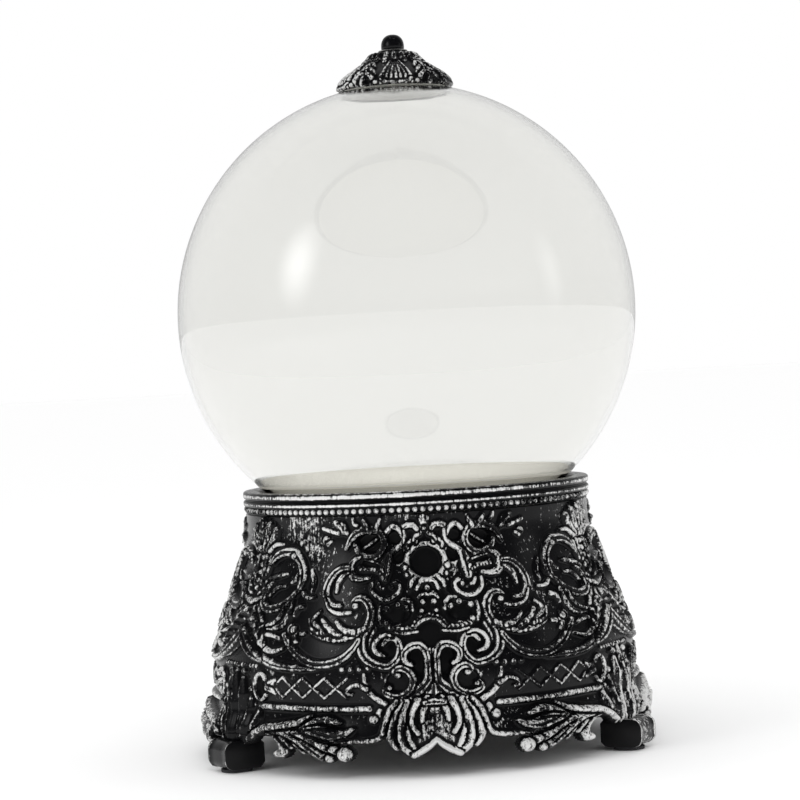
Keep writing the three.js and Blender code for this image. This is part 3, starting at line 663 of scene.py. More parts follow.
# The collar below it.
panel.strand(
    [(29.5, 88.2), (32.6, 86.6), (34, 83.6), (32.4, 80.4), (29, 79.4), (25, 79.8)],
    (0.8, 2.0, 3.2, 2.8, 1.8, 0.9), 3.0, "fluted",
)
panel.beads([(20.5, 81.4), (24.2, 82.8), (29.6, 83)], 0.85, 1.65)
panel.strand([(19.5, 84.6), (24, 86.2), (29, 87)], (0.5, 0.9, 0.5), 1.1, gap=0.2, floor=-0.6)
print("horned ring and collar done, up to", panel.lift.max().round(2), "mm proud")

# %% Carve the curls under the ring
# Curls under the ring.
panel.strand(
    [
        (24, 77.6), (23.6, 74.4), (20.5, 71.7), (16.4, 71.2), (12.8, 73.3), (11.8, 75.9),
        (13.4, 77.3), (15.2, 76.6),
    ],
    (0.7, 1.3, 1.4, 1.3, 1.2, 1.0), 2.0,
)
panel.bead(15.1, 75.8, 1.1)
panel.strand([(21.2, 77.6), (20.4, 75.8), (19.2, 75.4)], (1.0, 0.9, 0.5), 1.4)
panel.strand([(5, 79), (6.6, 77.4), (7.4, 75.4)], (1.6, 1.6, 0.8), 2.0)
panel.strand([(0, 78), (3, 77.6), (4.6, 74.6)], (1.4, 1.4, 1.2), 1.8)
panel.bead(0, 75, 1.3)
panel.bead(2.2, 69.6, 1.3)
panel.bead(3, 66, 1.0)
panel.strand([(0, 72.3), (2.4, 72.6), (4.2, 71)], (0.9, 1.1, 0.7), 1.4)
panel.strand([(6.6, 66.4), (7.2, 69.2), (9.2, 70.8), (11.6, 70.6)], (0.8, 1.2, 1.3, 1.0), 1.8)
for spot in ((9, 67.5), (12.8, 69), (17.6, 67.5), (17.4, 62)):
    panel.bead(*spot, 1.35)
panel.strand([(20, 68.6), (20.6, 65), (19.6, 61.4)], (0.6, 1.1, 0.7), 1.6)
panel.beads([(16.2, 60.2), (12, 59.3), (7.2, 59.6)], 1.05, 1.9)
panel.strand([(15.5, 58.4), (11, 57.6), (5, 58)], (0.5, 0.9, 0.5), 1.2)
panel.beads([(6.6, 60.4), (4.6, 63), (0, 64.6)], 0.85, 1.6)
panel.strand([(6, 59.5), (3.6, 62), (0, 63.1)], (0.6, 0.9, 0.9), 1.4)
print("cartouche stands", panel.lift.max().round(2), "mm proud")

# %% [markdown]
# ### The C and S scrolls
#
# A big C scroll turns away beside the cartouche, an S scroll runs down under it, and a long
# lens-shaped scroll leads to the corner.  All are channels: two bright edges with a dark line
# between them, which a single round strand would not give.

# %% Carve the C and S scrolls
# Big outer C: a rim, a second line inside it and a tail.
panel.strand(
    [(34.4, 82.4), (37.4, 81), (39.6, 78.4), (40.2, 74.4)],
    (0.9, 2.0, 1.9, 0.8), 1.7, "fluted",
)
panel.strand(
    [(34.6, 84), (38.2, 83.8), (42, 81.4), (44.5, 77), (44.4, 72.6), (41.4, 69.7), (37.6, 69)],
    (1.2, 1.9, 2.5, 2.6, 2.3, 1.5, 0.7), 2.9, "channel",
)
panel.strand([(44.7, 71.6), (42.4, 68), (38, 66), (32.6, 66.2)], (0.8, 1.2, 1.3, 0.8), 1.9)
# S scroll, from its ball to its inner curl.
panel.strand(
    [(31.8, 70.4), (30, 71.9), (27, 71.5), (24.6, 69), (23.5, 65.4), (24.6, 61), (26.2, 57)],
    (1.2, 1.6, 2.2, 2.7, 2.7, 2.8, 3.0), 3.1, "channel",
)
panel.bead(30.9, 68.9, 1.5)
panel.strand(
    [
        (26, 59), (27, 55.5), (26.6, 51), (24.2, 47.6), (20, 45.5), (16, 45.3), (13, 48.2),
        (12, 52), (13.4, 55.4), (16.4, 55.9), (18.6, 53.6),
    ],
    (2.6, 3.0, 3.0, 2.7, 2.2, 1.9, 1.8, 1.9, 1.7, 1.4, 0.8), 3.1, "channel", gap=0,
)
panel.strand(
    [(14.6, 56.6), (17.4, 57.4), (20.4, 56.2), (22.2, 53.2), (21.2, 50.4), (18.2, 49.2)],
    (0.6, 1.2, 1.4, 1.4, 1.2, 0.6), 2.0,
)
panel.strand([(22, 60), (23.6, 56.5), (24.2, 53)], (0.8, 1.3, 0.6), 1.2)
print("C and S scrolls done, up to", panel.lift.max().round(2), "mm proud")

# %% Carve the wing and the long scroll
# Leaf wing over the lens.
panel.strand(
    [(26, 60), (29, 58.4), (32, 57.4), (37, 56.2), (43, 56.9), (49, 58.8)],
    (2.2, 2.6, 2.9, 2.6, 2.6, 1.4), 2.7, "rope", gap=0,
)
panel.strand([(30.5, 58.4), (35, 59.4), (38.6, 62.9)], (2.4, 2.2, 0.5), 2.4, "round", gap=0)
panel.strand([(36.5, 57.6), (41.6, 60), (45, 63.8)], (2.6, 2.3, 0.6), 2.4, "round", gap=0)
panel.strand(
    [(43, 58.4), (47.6, 61), (48.6, 64), (46.6, 66.6)],
    (2.6, 2.8, 2.1, 0.5), 2.6, "round", gap=0,
)
panel.strand([(46, 58.6), (49.4, 60.6), (51, 64)], (2.0, 1.7, 0.5), 2.1, gap=0)
# Lens scroll, with the fronds that run on to the corner.
panel.strand(
    [(44, 44.8), (54, 44.4), (66, 45.4), (75, 49), (81, 54.6), (86, 61)],
    (1.2, 2.0, 2.6, 3.2, 3.4, 2.6), 2.4, "fluted",
)
panel.strand(
    [
        (28.2, 55.6), (30.6, 52), (35, 48.2), (41, 46.2), (48, 46.6), (54.4, 49.8), (59.4, 54.2),
        (62.4, 57.6),
    ],
    (1.4, 2.1, 2.5, 2.5, 2.4, 2.2, 2.0, 1.3), 2.9, "channel",
)
panel.strand([(52.6, 58), (55, 57.6), (57.6, 54.8)], (1.2, 1.8, 1.0), 1.9)
panel.strand([(56, 55), (57.4, 58), (59.6, 59.8)], (1.8, 2.6, 3.2), 2.5, "fluted")
panel.bead(58.4, 59.6, 1.8)
panel.strand(
    [(62, 52), (68, 50.6), (73, 52), (75, 54.6), (73, 57), (69, 57), (65.4, 56)],
    (0.8, 1.4, 1.9, 2.0, 1.7, 1.5, 0.8), 2.5,
)
print("wing and long scroll done, up to", panel.lift.max().round(2), "mm proud")

# %% Carve the stem and its curls
# Stem and curls between the cartouche and the shell.
panel.strand(
    [(0.9, 51), (1.7, 47), (1.7, 42), (2.2, 38.6), (5, 35.6), (9, 33), (13, 31.4)],
    (0.9, 1.6, 1.9, 2.4, 3.2, 3.2, 1.6), 2.9, "channel",
)
panel.strand(
    [(1.6, 47), (2.6, 51), (5, 52.9), (8.4, 52.1), (10.6, 49.6), (10, 46.6), (7.6, 45)],
    (1.4, 2.0, 2.2, 2.1, 1.8, 1.3, 0.7), 2.8, "channel", gap=0,
)
panel.strand(
    [
        (13.2, 41.2), (14.4, 42.6), (12.4, 44.2), (9.4, 43), (7.5, 39.4), (8.6, 35.6), (12, 33.2),
        (15.8, 33.2), (18.2, 35), (17.4, 37),
    ],
    (1.2, 1.8, 2.0, 1.9, 1.9, 1.8, 1.6, 1.7, 1.8, 1.0), 2.7, "channel",
)
panel.bead(13.2, 41.2, 1.3)
panel.bead(16.4, 36.4, 1.2)
panel.strand([(18.4, 30.4), (22.4, 33), (25.2, 36.8), (26, 42)], (2.2, 1.8, 1.6, 0.6), 2.3)
panel.strand(
    [(25.2, 36.2), (28.6, 37.8), (31.8, 36.8), (33, 34.8), (31, 34)],
    (2.0, 1.6, 1.3, 1.0, 0.6), 2.0,
)
panel.beads([(24.6, 44.4), (28, 44), (31.6, 44), (35, 44)], 1.05, 3.4)
print("scrolls reach", round(panel.across[panel.lift > 1].max(), 1), "mm across")

# %% [markdown]
# ### The leaves, the lattice and the bar
#
# Small leaves fill the wall under the rim, and a band of crossed lines over a plain bar runs
# round the belly.  The lattice is two zigzags, half a step apart, that cross.

# %% Carve the leaves, the lattice and the bar
panel.strand([(36.2, 97.4), (39, 99.6), (42.6, 102.4)], (1.4, 4.6, 1.0), 1.9, "leaf")
panel.strand([(41, 97.8), (44.6, 98.6), (49, 99.9)], (1.4, 1.3, 1.0), 1.7, "fluted")
panel.bead(47.2, 95, 2.0)
panel.strand([(44.6, 94.6), (46.4, 93.6)], (0.8, 1.6), 1.6)
panel.strand([(30.8, 100.6), (32.8, 101.4), (33.6, 103.6)], (0.9, 1.3, 0.5), 1.4)
# Two crossing zigzags make the lattice.
crossings = np.arange(32.8, 72, 9.6)
for start in (0, 1):
    zigzag = [(a, 40.4 if (k + start) % 2 else 32.4) for k, a in enumerate(crossings)]
    for first, second in zip(zigzag, zigzag[1:]):
        panel.strand([first, second], 0.45, 1.25, gap=0)
panel.strand([(24.6, 28.2), (50, 28.2), (77, 28.2)], 2.0, 2.2, "round")
panel.strand([(20.4, 27.4), (21.2, 25.6), (22.6, 23.8)], (1.6, 2.0, 3.0), 2.4)
panel.bead(22.8, 24, 2.0)
print("lattice has", len(crossings), "crossings on the half face")

# %% [markdown]
# ### The corner over each foot
#
# The corner is where the mirrored halves meet: a looped petal, acanthus fronds that wrap round, a
# shell on top, and a sheath of leaves that the leg stands in.  Strands that lie on the last
# column are whole once they are mirrored.

# %% Carve the corner
# A looped petal, its inner leaves and the blades that hang under it.
panel.strand([(50.6, 72.2), (55, 72.6), (58.6, 76)], (0.8, 1.6, 1.2), 2.0)
panel.strand([(52.6, 74.4), (52.4, 78), (54.4, 83)], (1.2, 2.6, 1.0), 1.6, "leaf")
panel.strand(
    [
        (61.4, 73), (58.4, 76.4), (57.8, 81), (60, 86), (64.6, 89.6), (70, 90.4), (76, 88.8),
        (80, 85.6),
    ],
    (1.2, 2.2, 2.8, 2.8, 3.2, 2.8, 2.6, 1.2), 3.2, "channel",
)
panel.bead(65.4, 88.8, 1.9)
panel.strand(
    [(60.4, 74.4), (64, 70.6), (69, 68.2), (75, 67.4), (79.2, 69.4), (79.4, 73.4), (77.2, 78)],
    (1.2, 2.4, 2.8, 2.8, 2.7, 2.0, 1.0), 3.2, "channel",
)
panel.strand([(68.6, 81.4), (74, 80.6), (79.6, 79.4)], (0.8, 2.2, 1.6), 2.2, "leaf")
panel.strand([(68.4, 76.4), (73, 75.8), (77, 72.6)], (0.7, 1.7, 1.2), 1.8)
panel.strand([(62.2, 81), (63, 79), (65, 78)], (1.2, 2.0, 0.8), 1.4)
panel.strand(
    [(61.6, 70.6), (62.2, 66), (64.4, 61.8), (69, 60), (75, 60.2)],
    (0.9, 1.9, 2.2, 1.9, 1.3), 2.4, "fluted",
)
panel.strand([(66, 69), (66.8, 65.4), (70, 62), (75, 60.6)], (0.7, 1.7, 1.7, 0.8), 2.0)
panel.strand([(56.2, 68.6), (58.4, 68), (59.6, 65)], (1.8, 1.8, 0.6), 1.8)
print("petal done, up to", panel.lift.max().round(2), "mm proud")

# %% Carve the fronds and the top shell
# Acanthus fronds that wrap the corner.
panel.strand([(74, 47.4), (80, 50.4), (86, 55), (90.4, 60)], (2.4, 5.6, 7.0, 5.0), 3.6, "fluted")
panel.strand([(74, 53), (78, 58), (83.6, 63.6), (90, 67.4)], (2.4, 6.6, 8.6, 6.0), 4.0, "leaf")
panel.strand([(77.4, 62), (80.6, 66), (84, 68.6)], (1.0, 2.6, 0.8), 2.6, "leaf")
panel.strand([(81, 72.6), (84.6, 71), (90, 69.4)], (1.4, 2.4, 2.4), 2.6)
panel.strand([(81.4, 78.4), (82.6, 75), (86, 73)], (1.4, 2.8, 1.4), 2.4, "leaf")
for k in range(5):
    panel.bead(FACE_HALF, 75.6 + 3.1 * k, 1.65)
panel.strand([(85.6, 91), (85.4, 84), (86.2, 77)], (1.2, 2.2, 1.2), 2.2, "rope")
panel.strand([(82.6, 88), (82.4, 84), (83.6, 80.6)], (0.8, 2.0, 0.8), 1.8)
# A shell on top.
panel.strand(
    [(FACE_HALF, 91.4), (FACE_HALF, 97), (FACE_HALF, 103.6)],
    (3.0, 5.2, 3.2), 3.6, "fluted",
)
panel.strand([(87.4, 91), (84.8, 96), (83.6, 101.6)], (2.2, 4.2, 2.0), 3.2, "fluted")
panel.strand([(85.4, 91), (81.4, 95), (79.2, 99.4)], (1.8, 3.2, 1.6), 2.8, "fluted")
panel.strand([(84, 90.4), (79, 93), (73.4, 93.4)], (1.6, 1.9, 0.7), 2.2)
panel.beads([(77, 44.2), (FACE_HALF, 44.2)], 0.95, 2.1)
print("fronds done, up to", panel.lift.max().round(2), "mm proud")

# %% Carve the oval ring and the sheath
# The oval ring and its wing, at the end of the lattice.
panel.strand(oval(73.4, 36, 3.4, 5.4, -100, 260), 1.2, 2.2)
panel.hollow(73.4, 36, 3.0, 5.0, 1.2)
panel.strand([(70, 36.4), (67.6, 37.6), (65.6, 39)], (2.6, 3.0, 1.2), 1.8, "fluted")
panel.strand([(70, 35.6), (67.4, 35), (65.6, 33.8)], (2.4, 2.4, 1.0), 1.6, "fluted")
# The sheath of leaves that the leg stands in.
panel.strand(
    [(79, 14.6), (77, 19.6), (75, 24.6), (74.6, 28.6)],
    (3.6, 5.0, 3.6, 0.8), (3.0, 3.6, 3.0, 1.2), "blade",
)
panel.strand(
    [(83, 14.2), (81, 20.6), (79.8, 28), (79.4, 33.6)],
    (4.6, 6.2, 5.0, 0.8), (3.6, 4.2, 3.6, 1.4), "blade", gap=0.2,
)
panel.strand(
    [(86.4, 14), (85.4, 24), (84.6, 34), (84.2, 41.6)],
    (4.8, 6.4, 5.6, 0.8), (4.2, 4.8, 4.2, 1.6), "blade", gap=0.2,
)
panel.strand(
    [(FACE_HALF, 14), (FACE_HALF, 28), (FACE_HALF, 43.6)],
    (5.6, 6.4, 0.8), (4.8, 5.2, 1.8), "blade", gap=0.2,
)
panel.bead(79.4, 34.6, 1.5, 2.2)
panel.bead(84.2, 41.8, 1.6, 2.4)
print("corner stands", panel.lift[-60:].max().round(2), "mm proud")

# %% [markdown]
# ### What hangs below the skirt
#
# A shell hangs from the middle of each face and a spray of leaves from each side of it.  They are
# drawn on the same grid, carried on below the skirt's edge, and cut free later.

# %% Carve the hanging shell and sprays
panel.strand([(5.5, 23.5), (6.2, 17.6)], 12.6, 0.9, "flat", gap=0)
panel.strand([(0, 37), (0, 32), (0, 28.6)], (2.0, 6.0, 5.0), 3.6, "fluted", gap=0)
panel.strand(
    [(9, 24), (10.8, 19), (10.2, 14), (7.4, 10.4)],
    (1.4, 3.2, 4.2, 2.8), 4.6, "blade", gap=0,
)
panel.strand(
    [(10.4, 30.6), (12.4, 25), (13.2, 19), (12.2, 14.4), (9.8, 11.2)],
    (3.0, 3.8, 4.2, 3.8, 2.4), 5.1, "blade", gap=0,
)
panel.strand(
    [(12.6, 30.8), (15, 26), (16.2, 20.4), (15.6, 15.8), (14.2, 13)],
    (2.6, 3.4, 3.8, 3.4, 1.8), 5.3, "blade", gap=0,
)
panel.strand(
    [(13.8, 31), (16.8, 27), (18.4, 22), (19.6, 17.8), (22.6, 16), (28, 15.4), (36, 15.2)],
    (1.6, 2.0, 1.8, 1.6, 1.5, 1.4, 1.4), (4.6, 4.6, 4.0, 3.2, 2.0, 1.6, 1.6), "rope",
)
panel.strand(
    [(0, 15.6), (2.6, 13.2), (5.4, 11.4), (8.2, 10)],
    (1.6, 2.0, 2.4, 2.6), 4.2, "round", gap=0,
)
panel.strand([(2.4, 31.4), (4.2, 27.4), (4.9, 22.8)], (3.0, 2.0, 0.7), 4.4, "fluted")
panel.strand([(6, 31), (8.2, 26.6), (8.6, 22), (6.6, 18.2)], (3.0, 2.0, 1.5, 1.1), 4.4)
panel.strand([(0, 30.6), (3.4, 30.2)], (3.6, 2.4), 4.2, "fluted", gap=0)
panel.strand(
    [(72, 18.6), (66, 18.8), (61.4, 16.6), (59.4, 13.4), (60.2, 10.4), (62.8, 9.6)],
    (2.0, 3.0, 4.2, 4.6, 4.2, 2.4), 3.6,
)
panel.strand([(61.6, 18), (57.8, 15.2), (56.2, 13)], (2.4, 3.4, 1.6), 3.4, "blade")
panel.strand([(57, 18.4), (53, 14.8), (50.4, 11.6)], (2.6, 4.2, 2.0), 3.8, "blade")
panel.strand(
    [(68, 19.4), (60, 19.2), (53.4, 17), (47.6, 13.2), (43, 10), (40, 8.2)],
    (2.0, 3.0, 3.8, 4.6, 4.0, 2.2), 4.4, "fluted",
)
panel.strand([(54, 19), (48, 17), (42, 13.8), (37.6, 11.6)], (1.4, 2.2, 2.8, 2.4), 4.9, "round")
panel.strand([(38.4, 12.4), (35.4, 11.4)], (2.2, 3.2), 4.6, "fluted")
panel.bead(33.6, 10.4, 3.2, 4.8)
panel.bead(39.6, 8.8, 1.9, 4.4)
panel.strand(
    [(30.6, 20.3), (34, 18.6), (38.6, 18.2), (44, 19.4), (51, 20.6)],
    (0.9, 3.2, 5.2, 4.2, 2.0), 4.8, "fluted", gap=0.2,
)
panel.strand([(35.6, 22.8), (40, 24), (44.6, 23.6), (50, 21.2)], (0.9, 2.8, 2.6, 1.8), 4.6)
panel.strand([(41, 21.4), (45, 21.4), (49.6, 20.6)], (1.4, 1.2, 1.0), 3.8, gap=0.2)
panel.strand(
    [(77.4, 14.6), (74, 17.4), (69.4, 19.8), (63, 20.8), (57, 21.8), (52, 23.2), (47.4, 25.8)],
    (2.2, 2.7, 2.6, 2.7, 2.7, 2.2, 0.6), 4.4, "round",
)
panel.lift = soften(panel.lift, 0.2, panel.step)
print("lift from", panel.lift.min().round(2), "to", panel.lift.max().round(2), "mm")

# %% [markdown]
# ### From the height map to the drum
#
# Silver sits on what stands above its surroundings, so the map itself says where: its height less
# its own blurred height.  The half face is mirrored, turned three times and wrapped on the wall;
# the inside of the drum, with its deck and window, closes it.  A displacement modifier could push
# out a plain drum too, but then the inside would have to be kept from moving.

# %% Wrap the drum
WALL = 4.0
DECK_TOP = RIM_FOOT - 8.6
DECK_FOOT = RIM_FOOT - 12.6
WINDOW_RADIUS = 30.0
NO_SILVER = -0.6


def whole_face(grid):
    """A half face with its mirror image, without doubling the middle or the far edge."""
    return np.vstack([grid[::-1], grid[1:-1]])


def silver_of(lift, step, blur=0.8):
    """How readily each point catches the dry brush: crests and edges do, hollows never do."""
    crest = np.clip(lift - soften(lift, blur, step), -0.6, 0.4)
    return 0.4 + 0.82 * crest - 0.7 * smoothstep(-lift, 0.3, 1.2)


silver_and_shade_map = silver_of(panel.lift, panel.step)
# Less silver on the sheath over a foot darkens it: painted shade under the flare of the fronds.
silver_and_shade_map -= 0.05 * smoothstep(panel.across, 74, 80) * (1 - smoothstep(panel.height, 38, 44))
column_angles = np.concatenate([-panel.across_line[::-1], panel.across_line[1:-1]]) / AROUND
all_angles = np.concatenate([turn + column_angles for turn in FACES])
foot_row = int(np.searchsorted(panel.height_line, SKIRT_FOOT - TINY))
face_lift = np.tile(whole_face(panel.lift), (3, 1))
face_silver_and_shade = np.tile(whole_face(silver_and_shade_map), (3, 1))

outer_height = panel.height_line[foot_row:]
outer_radius = wall_radius(outer_height) + face_lift[:, foot_row:]
below_deck = [DECK_FOOT, 80, 66, 52, 40, 30, SKIRT_FOOT + 6, SKIRT_FOOT]
inside = [(wall_radius(h) - WALL, h) for h in (RIM_FOOT, DECK_TOP)]
inside += [(WINDOW_RADIUS, DECK_TOP), (WINDOW_RADIUS, DECK_FOOT)]
inside += [(wall_radius(h) - WALL, h) for h in below_deck]
inside_radius = np.array([[float(r) for r, _ in inside]])
columns = len(all_angles)
ring_radius = np.hstack([outer_radius, np.repeat(inside_radius, columns, 0)])
ring_height = np.concatenate([outer_height, [h for _, h in inside]])
drum_points = upright(ring_radius, all_angles[:, None], ring_height).transpose(1, 0, 2)
inside_silver = np.full((len(inside), columns), NO_SILVER)
drum_silver_and_shade = np.vstack([face_silver_and_shade[:, foot_row:].T, inside_silver]).reshape(-1)
drum = (drum_points.reshape(-1, 3), tube_faces(len(ring_height), columns), drum_silver_and_shade)
print("drum points", len(drum[0]))

# %% [markdown]
# ### Cut free what hangs
#
# Below the skirt only the carved work is there, with air round it.  Grid squares whose four
# corners are all raised are kept, a second sheet some millimetres behind them gives thickness,
# and a wall is added wherever a neighbour is missing, so the result is closed.  A boolean could
# cut the same shape, but it is slower and leaves slivers.


# %% Cut out the hanging work
def hanging_work():
    """The shells, sprays and leg sheaths below the skirt, as a closed sheet cut from the map."""
    top_row = foot_row + 6
    lift = face_lift[:, :top_row].copy()
    height = panel.height_line[:top_row]
    keep = lift > 0.12
    keep[:, foot_row:] &= keep[:, foot_row - 1 : foot_row]
    # Where it overlaps the drum it sinks in, so the two surfaces never lie in one place.
    sink = 0.06 + 0.35 * np.maximum(height - SKIRT_FOOT, 0)
    lift = np.where(height >= SKIRT_FOOT, lift - sink, lift)
    beside = np.roll(keep, -1, 0)
    cells = keep[:, :-1] & keep[:, 1:] & beside[:, :-1] & beside[:, 1:]
    count, rows = lift.shape
    behind = count * rows
    front = np.arange(behind).reshape(count, rows)
    radius = wall_radius(np.maximum(height, SKIRT_FOOT)) + lift
    thick = np.clip(lift + 2.6, 3.2, 9.0)
    sheets = [upright(r, all_angles[:, None], height) for r in (radius, radius - thick)]
    points = np.concatenate([sheet.reshape(-1, 3) for sheet in sheets])
    faces = []
    for i, j in zip(*np.nonzero(cells)):
        k = (i + 1) % count
        a, b, c, d = front[i, j], front[k, j], front[k, j + 1], front[i, j + 1]
        faces.append((a, b, c, d))
        faces.append((d + behind, c + behind, b + behind, a + behind))
        for p, q, open_edge in (
            (a, b, j == 0 or not cells[i, j - 1]),
            (b, c, not cells[k, j]),
            (c, d, j + 1 >= cells.shape[1] or not cells[i, j + 1]),
            (d, a, not cells[i - 1, j]),
        ):
            if open_edge:
                faces.append((q, p, p + behind, q + behind))
    used = np.unique(np.array(faces))
    lookup = np.full(len(points), -1)
    lookup[used] = np.arange(len(used))
    front_silver_and_shade = face_silver_and_shade[:, :top_row].reshape(-1)
    shade = np.concatenate([front_silver_and_shade, np.full(behind, NO_SILVER)])
    return points[used], lookup[np.array(faces)], shade[used]


hanging = hanging_work()
print("hanging points", len(hanging[0]))

# %% [markdown]
# ### The three scrolled feet
#
# Each foot is a block rolled at its outer end.  Its sides are smooth black; its toe face is a
# brushed strip between two beaded edges.  A bevelled cube would give its bulk, but sweeping the
# side outline across gives the roll, the raised edges and a place for every bead at once.

# %% Make the feet
FOOT_TIP = cad_box[1][1] / MM
FOOT_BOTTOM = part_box("foot_pad_2")[1][2] / MM + 0.3
FOOT_TOP = 13.4
FOOT_HEEL = FOOT_TIP - 18.5
FOOT_HALF = 8.25
FOOT_ROUND = 4.2
HEEL_CUT = 2.0
TOE_BEAD = 0.75
# Each station is (place across, as a share of the half width; size of the outline there).
FOOT_STATIONS = [
    (-1.0, 0.93), (-0.97, 0.985), (-0.9, 1.0), (-0.84, 1.0), (-0.78, 0.955), (-0.4, 0.96),
    (0, 0.965),
    (0.4, 0.96), (0.78, 0.955), (0.84, 1.0), (0.9, 1.0), (0.97, 0.985), (1.0, 0.93),
]


def foot_outline():
    """The foot seen from its side, as (radius, height), from the heel round the toe."""
    quarter = np.linspace(0, math.pi / 2, 9)
    middle = FOOT_TIP - FOOT_ROUND
    low = FOOT_BOTTOM
    high = FOOT_TOP - FOOT_ROUND
    under = [
        (middle + FOOT_ROUND * math.sin(t), low + FOOT_ROUND * (1 - math.cos(t))) for t in quarter
    ]
    over = [(middle + FOOT_ROUND * math.cos(t), high + FOOT_ROUND * math.sin(t)) for t in quarter]
    heel = [(FOOT_HEEL + HEEL_CUT, FOOT_TOP), (FOOT_HEEL, FOOT_TOP - HEEL_CUT)]
    heel += [(FOOT_HEEL, FOOT_BOTTOM + HEEL_CUT), (FOOT_HEEL + HEEL_CUT, FOOT_BOTTOM)]
    return np.array(under + over + heel)


def foot(turn):
    """One foot: its outline swept across, pulled in at the sides' edges, with beads on the toe."""
    outline = foot_outline()
    centre = outline.mean(0)
    toe = smoothstep(outline[:, 0], FOOT_TIP - 9, FOOT_TIP - 3)
    rings, silver = [], []
    for across, size in FOOT_STATIONS:
        shaped = centre + (outline - centre) * size
        side = np.full(len(shaped), across * FOOT_HALF)
        rings.append(np.column_stack([side, -shaped[:, 0], shaped[:, 1]]))
        if abs(across) >= 0.95:
            edge = 0.1
        elif size < 0.99:
            edge = 0.5
        else:
            edge = 0.72
        silver.append(-0.25 + edge * (0.55 + 0.65 * toe) + 0.1)
    points = np.vstack(rings)
    size = len(outline)
    faces = grid_faces(len(rings), size)[:, ::-1].tolist()
    faces.append(list(range(size)))
    faces.append(list(range(len(points) - size, len(points)))[::-1])
    parts = [(points, faces, np.concatenate(silver))]
    rolled = outline[2:18]
    for across in (-0.87, 0.87):
        for r, h in smooth_path(rolled, 1.7)[1:-1]:
            spot = (across * FOOT_HALF, -r + TOE_BEAD, h)
            parts.append((*ball_points(spot, TOE_BEAD), 0.72))
    points, faces, shade = joined(parts)
    c, s = math.cos(turn), math.sin(turn)
    spin = np.array([[c, s, 0], [-s, c, 0], [0, 0, 1]])
    return points @ spin, faces, shade


feet = [foot(turn) for turn in CORNERS]
points, faces, shade = joined([drum, hanging] + feet)
casting = new_piece("base_casting", points, faces, resin, silver=shade)
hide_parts("base_body")
print("casting faces", len(faces))

# %% [markdown]
# ## The rim ring
#
# A separate ring with two beads, two grooves and a row of pearls holds the ball's neck.  A lathe
# would cut such a moulding, so its profile is turned about the axis, and the pearls are set in
# after.  The brush catches the crests of the two beads, a tenth of a millimetre or two deep; the
# silver on the flat top is a painted reflection of the light from above.

# %% Make the rim ring
PEARL_RADIUS = 1.1
PEARL_PITCH = 3.2
PEARL_HEIGHT = 106.5
PEARL_RING = RIM_RADIUS - 1.2
RIM_SEGMENTS = 360


def bead_arc(middle_radius, low, high, bulge):
    """A half-round moulding from one height to another."""
    half_turn = np.linspace(0, math.pi, 13)
    return [
        (middle_radius + bulge * math.sin(a), low + (high - low) * (1 - math.cos(a)) / 2)
        for a in half_turn
    ]


rim_profile = [(-7, RIM_FOOT + 0.3), (-1.3, RIM_FOOT + 0.3), (-0.8, RIM_FOOT + 0.7)]
rim_profile += [(-0.9, 105.3), (-1.3, 105.8), (-1.3, 107.3)]
rim_profile += bead_arc(-0.9, 107.8, 110.2, 0.85)
rim_profile += [(-1.5, 110.5)]
rim_profile += bead_arc(-1.0, 110.9, RIM_TOP - 0.1, 1.0)
rim_profile += [(-2.2, RIM_TOP), (-6.0, RIM_TOP - 0.1), (-7.0, RIM_TOP - 0.8)]
rim_profile = [(RIM_RADIUS + inset, h) for inset, h in rim_profile]
rim_points, rim_faces = turned(rim_profile, RIM_SEGMENTS)
rim_radii = np.repeat([r for r, _ in rim_profile], RIM_SEGMENTS)
rim_heights = np.repeat([h for _, h in rim_profile], RIM_SEGMENTS)
rim_silver_and_sheen = 0.1 + 0.66 * smoothstep(rim_radii, RIM_RADIUS - 0.22, RIM_RADIUS - 0.05)
# The flat top gets silver as a painted reflection of the bright room above it.
rim_silver_and_sheen = np.where(rim_heights > RIM_TOP - 0.35, 0.52, rim_silver_and_sheen)
rim_parts = [(rim_points, rim_faces, rim_silver_and_sheen)]
pearl_count = round(2 * math.pi * (RIM_RADIUS - 0.9) / PEARL_PITCH)
for k in range(pearl_count):
    angle = 2 * math.pi * k / pearl_count
    rim_parts.append((*ball_points(upright(PEARL_RING, angle, PEARL_HEIGHT), PEARL_RADIUS), 0.7))
points, faces, shade = joined(rim_parts)
rim = new_piece("rim_ring_beaded", points, faces, resin, silver=shade)
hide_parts("rim_ring")
print("pearls", pearl_count)

# %% [markdown]
# ## The ball
#
# A blown acrylic ball: clear, about two millimetres thick, with a cut opening at the foot.  It is
# turned from a profile with both its walls, because light has to enter and leave each of them;
# one surface alone would look like a solid lens.  Acrylic bends light by 1.49, and blowing leaves
# a slow ripple, some 70 mm long, that only shows where a lamp is mirrored.

# %% Clear acrylic
RIPPLES_PER_MM = 0.014


def clear_acrylic():
    """Clear and polished, with the faintest grey in its edge."""
    mat, tree, metres = new_material("clear_acrylic_blown")
    ripple = add_node(
        tree,
        "TexNoise",
        inputs={"Vector": metres, "Scale": RIPPLES_PER_MM / MM, "Detail": 1.0},
    )
    bump = add_node(
        tree,
        "Bump",
        inputs={"Height": ripple.outputs["Fac"], "Strength": 0.04, "Distance": 1.0 * MM},
    )
    shader = add_node(
        tree,
        "BsdfPrincipled",
        inputs={
            "Base Color": linear("#f4f4f2"),
            "Roughness": 0.0,
            "IOR": 1.49,
            "Transmission Weight": 1.0,
            "Normal": bump.outputs["Normal"],
        },
    )
    return finished(mat, shader)


acrylic = clear_acrylic()
print("made", acrylic.name)

# %% [markdown]
# ### Turn the ball
#
# The profile runs up the inner wall, down the outer one and round the cut edge of the neck.  An
# icosphere would be quicker, but it has no opening and no wall.

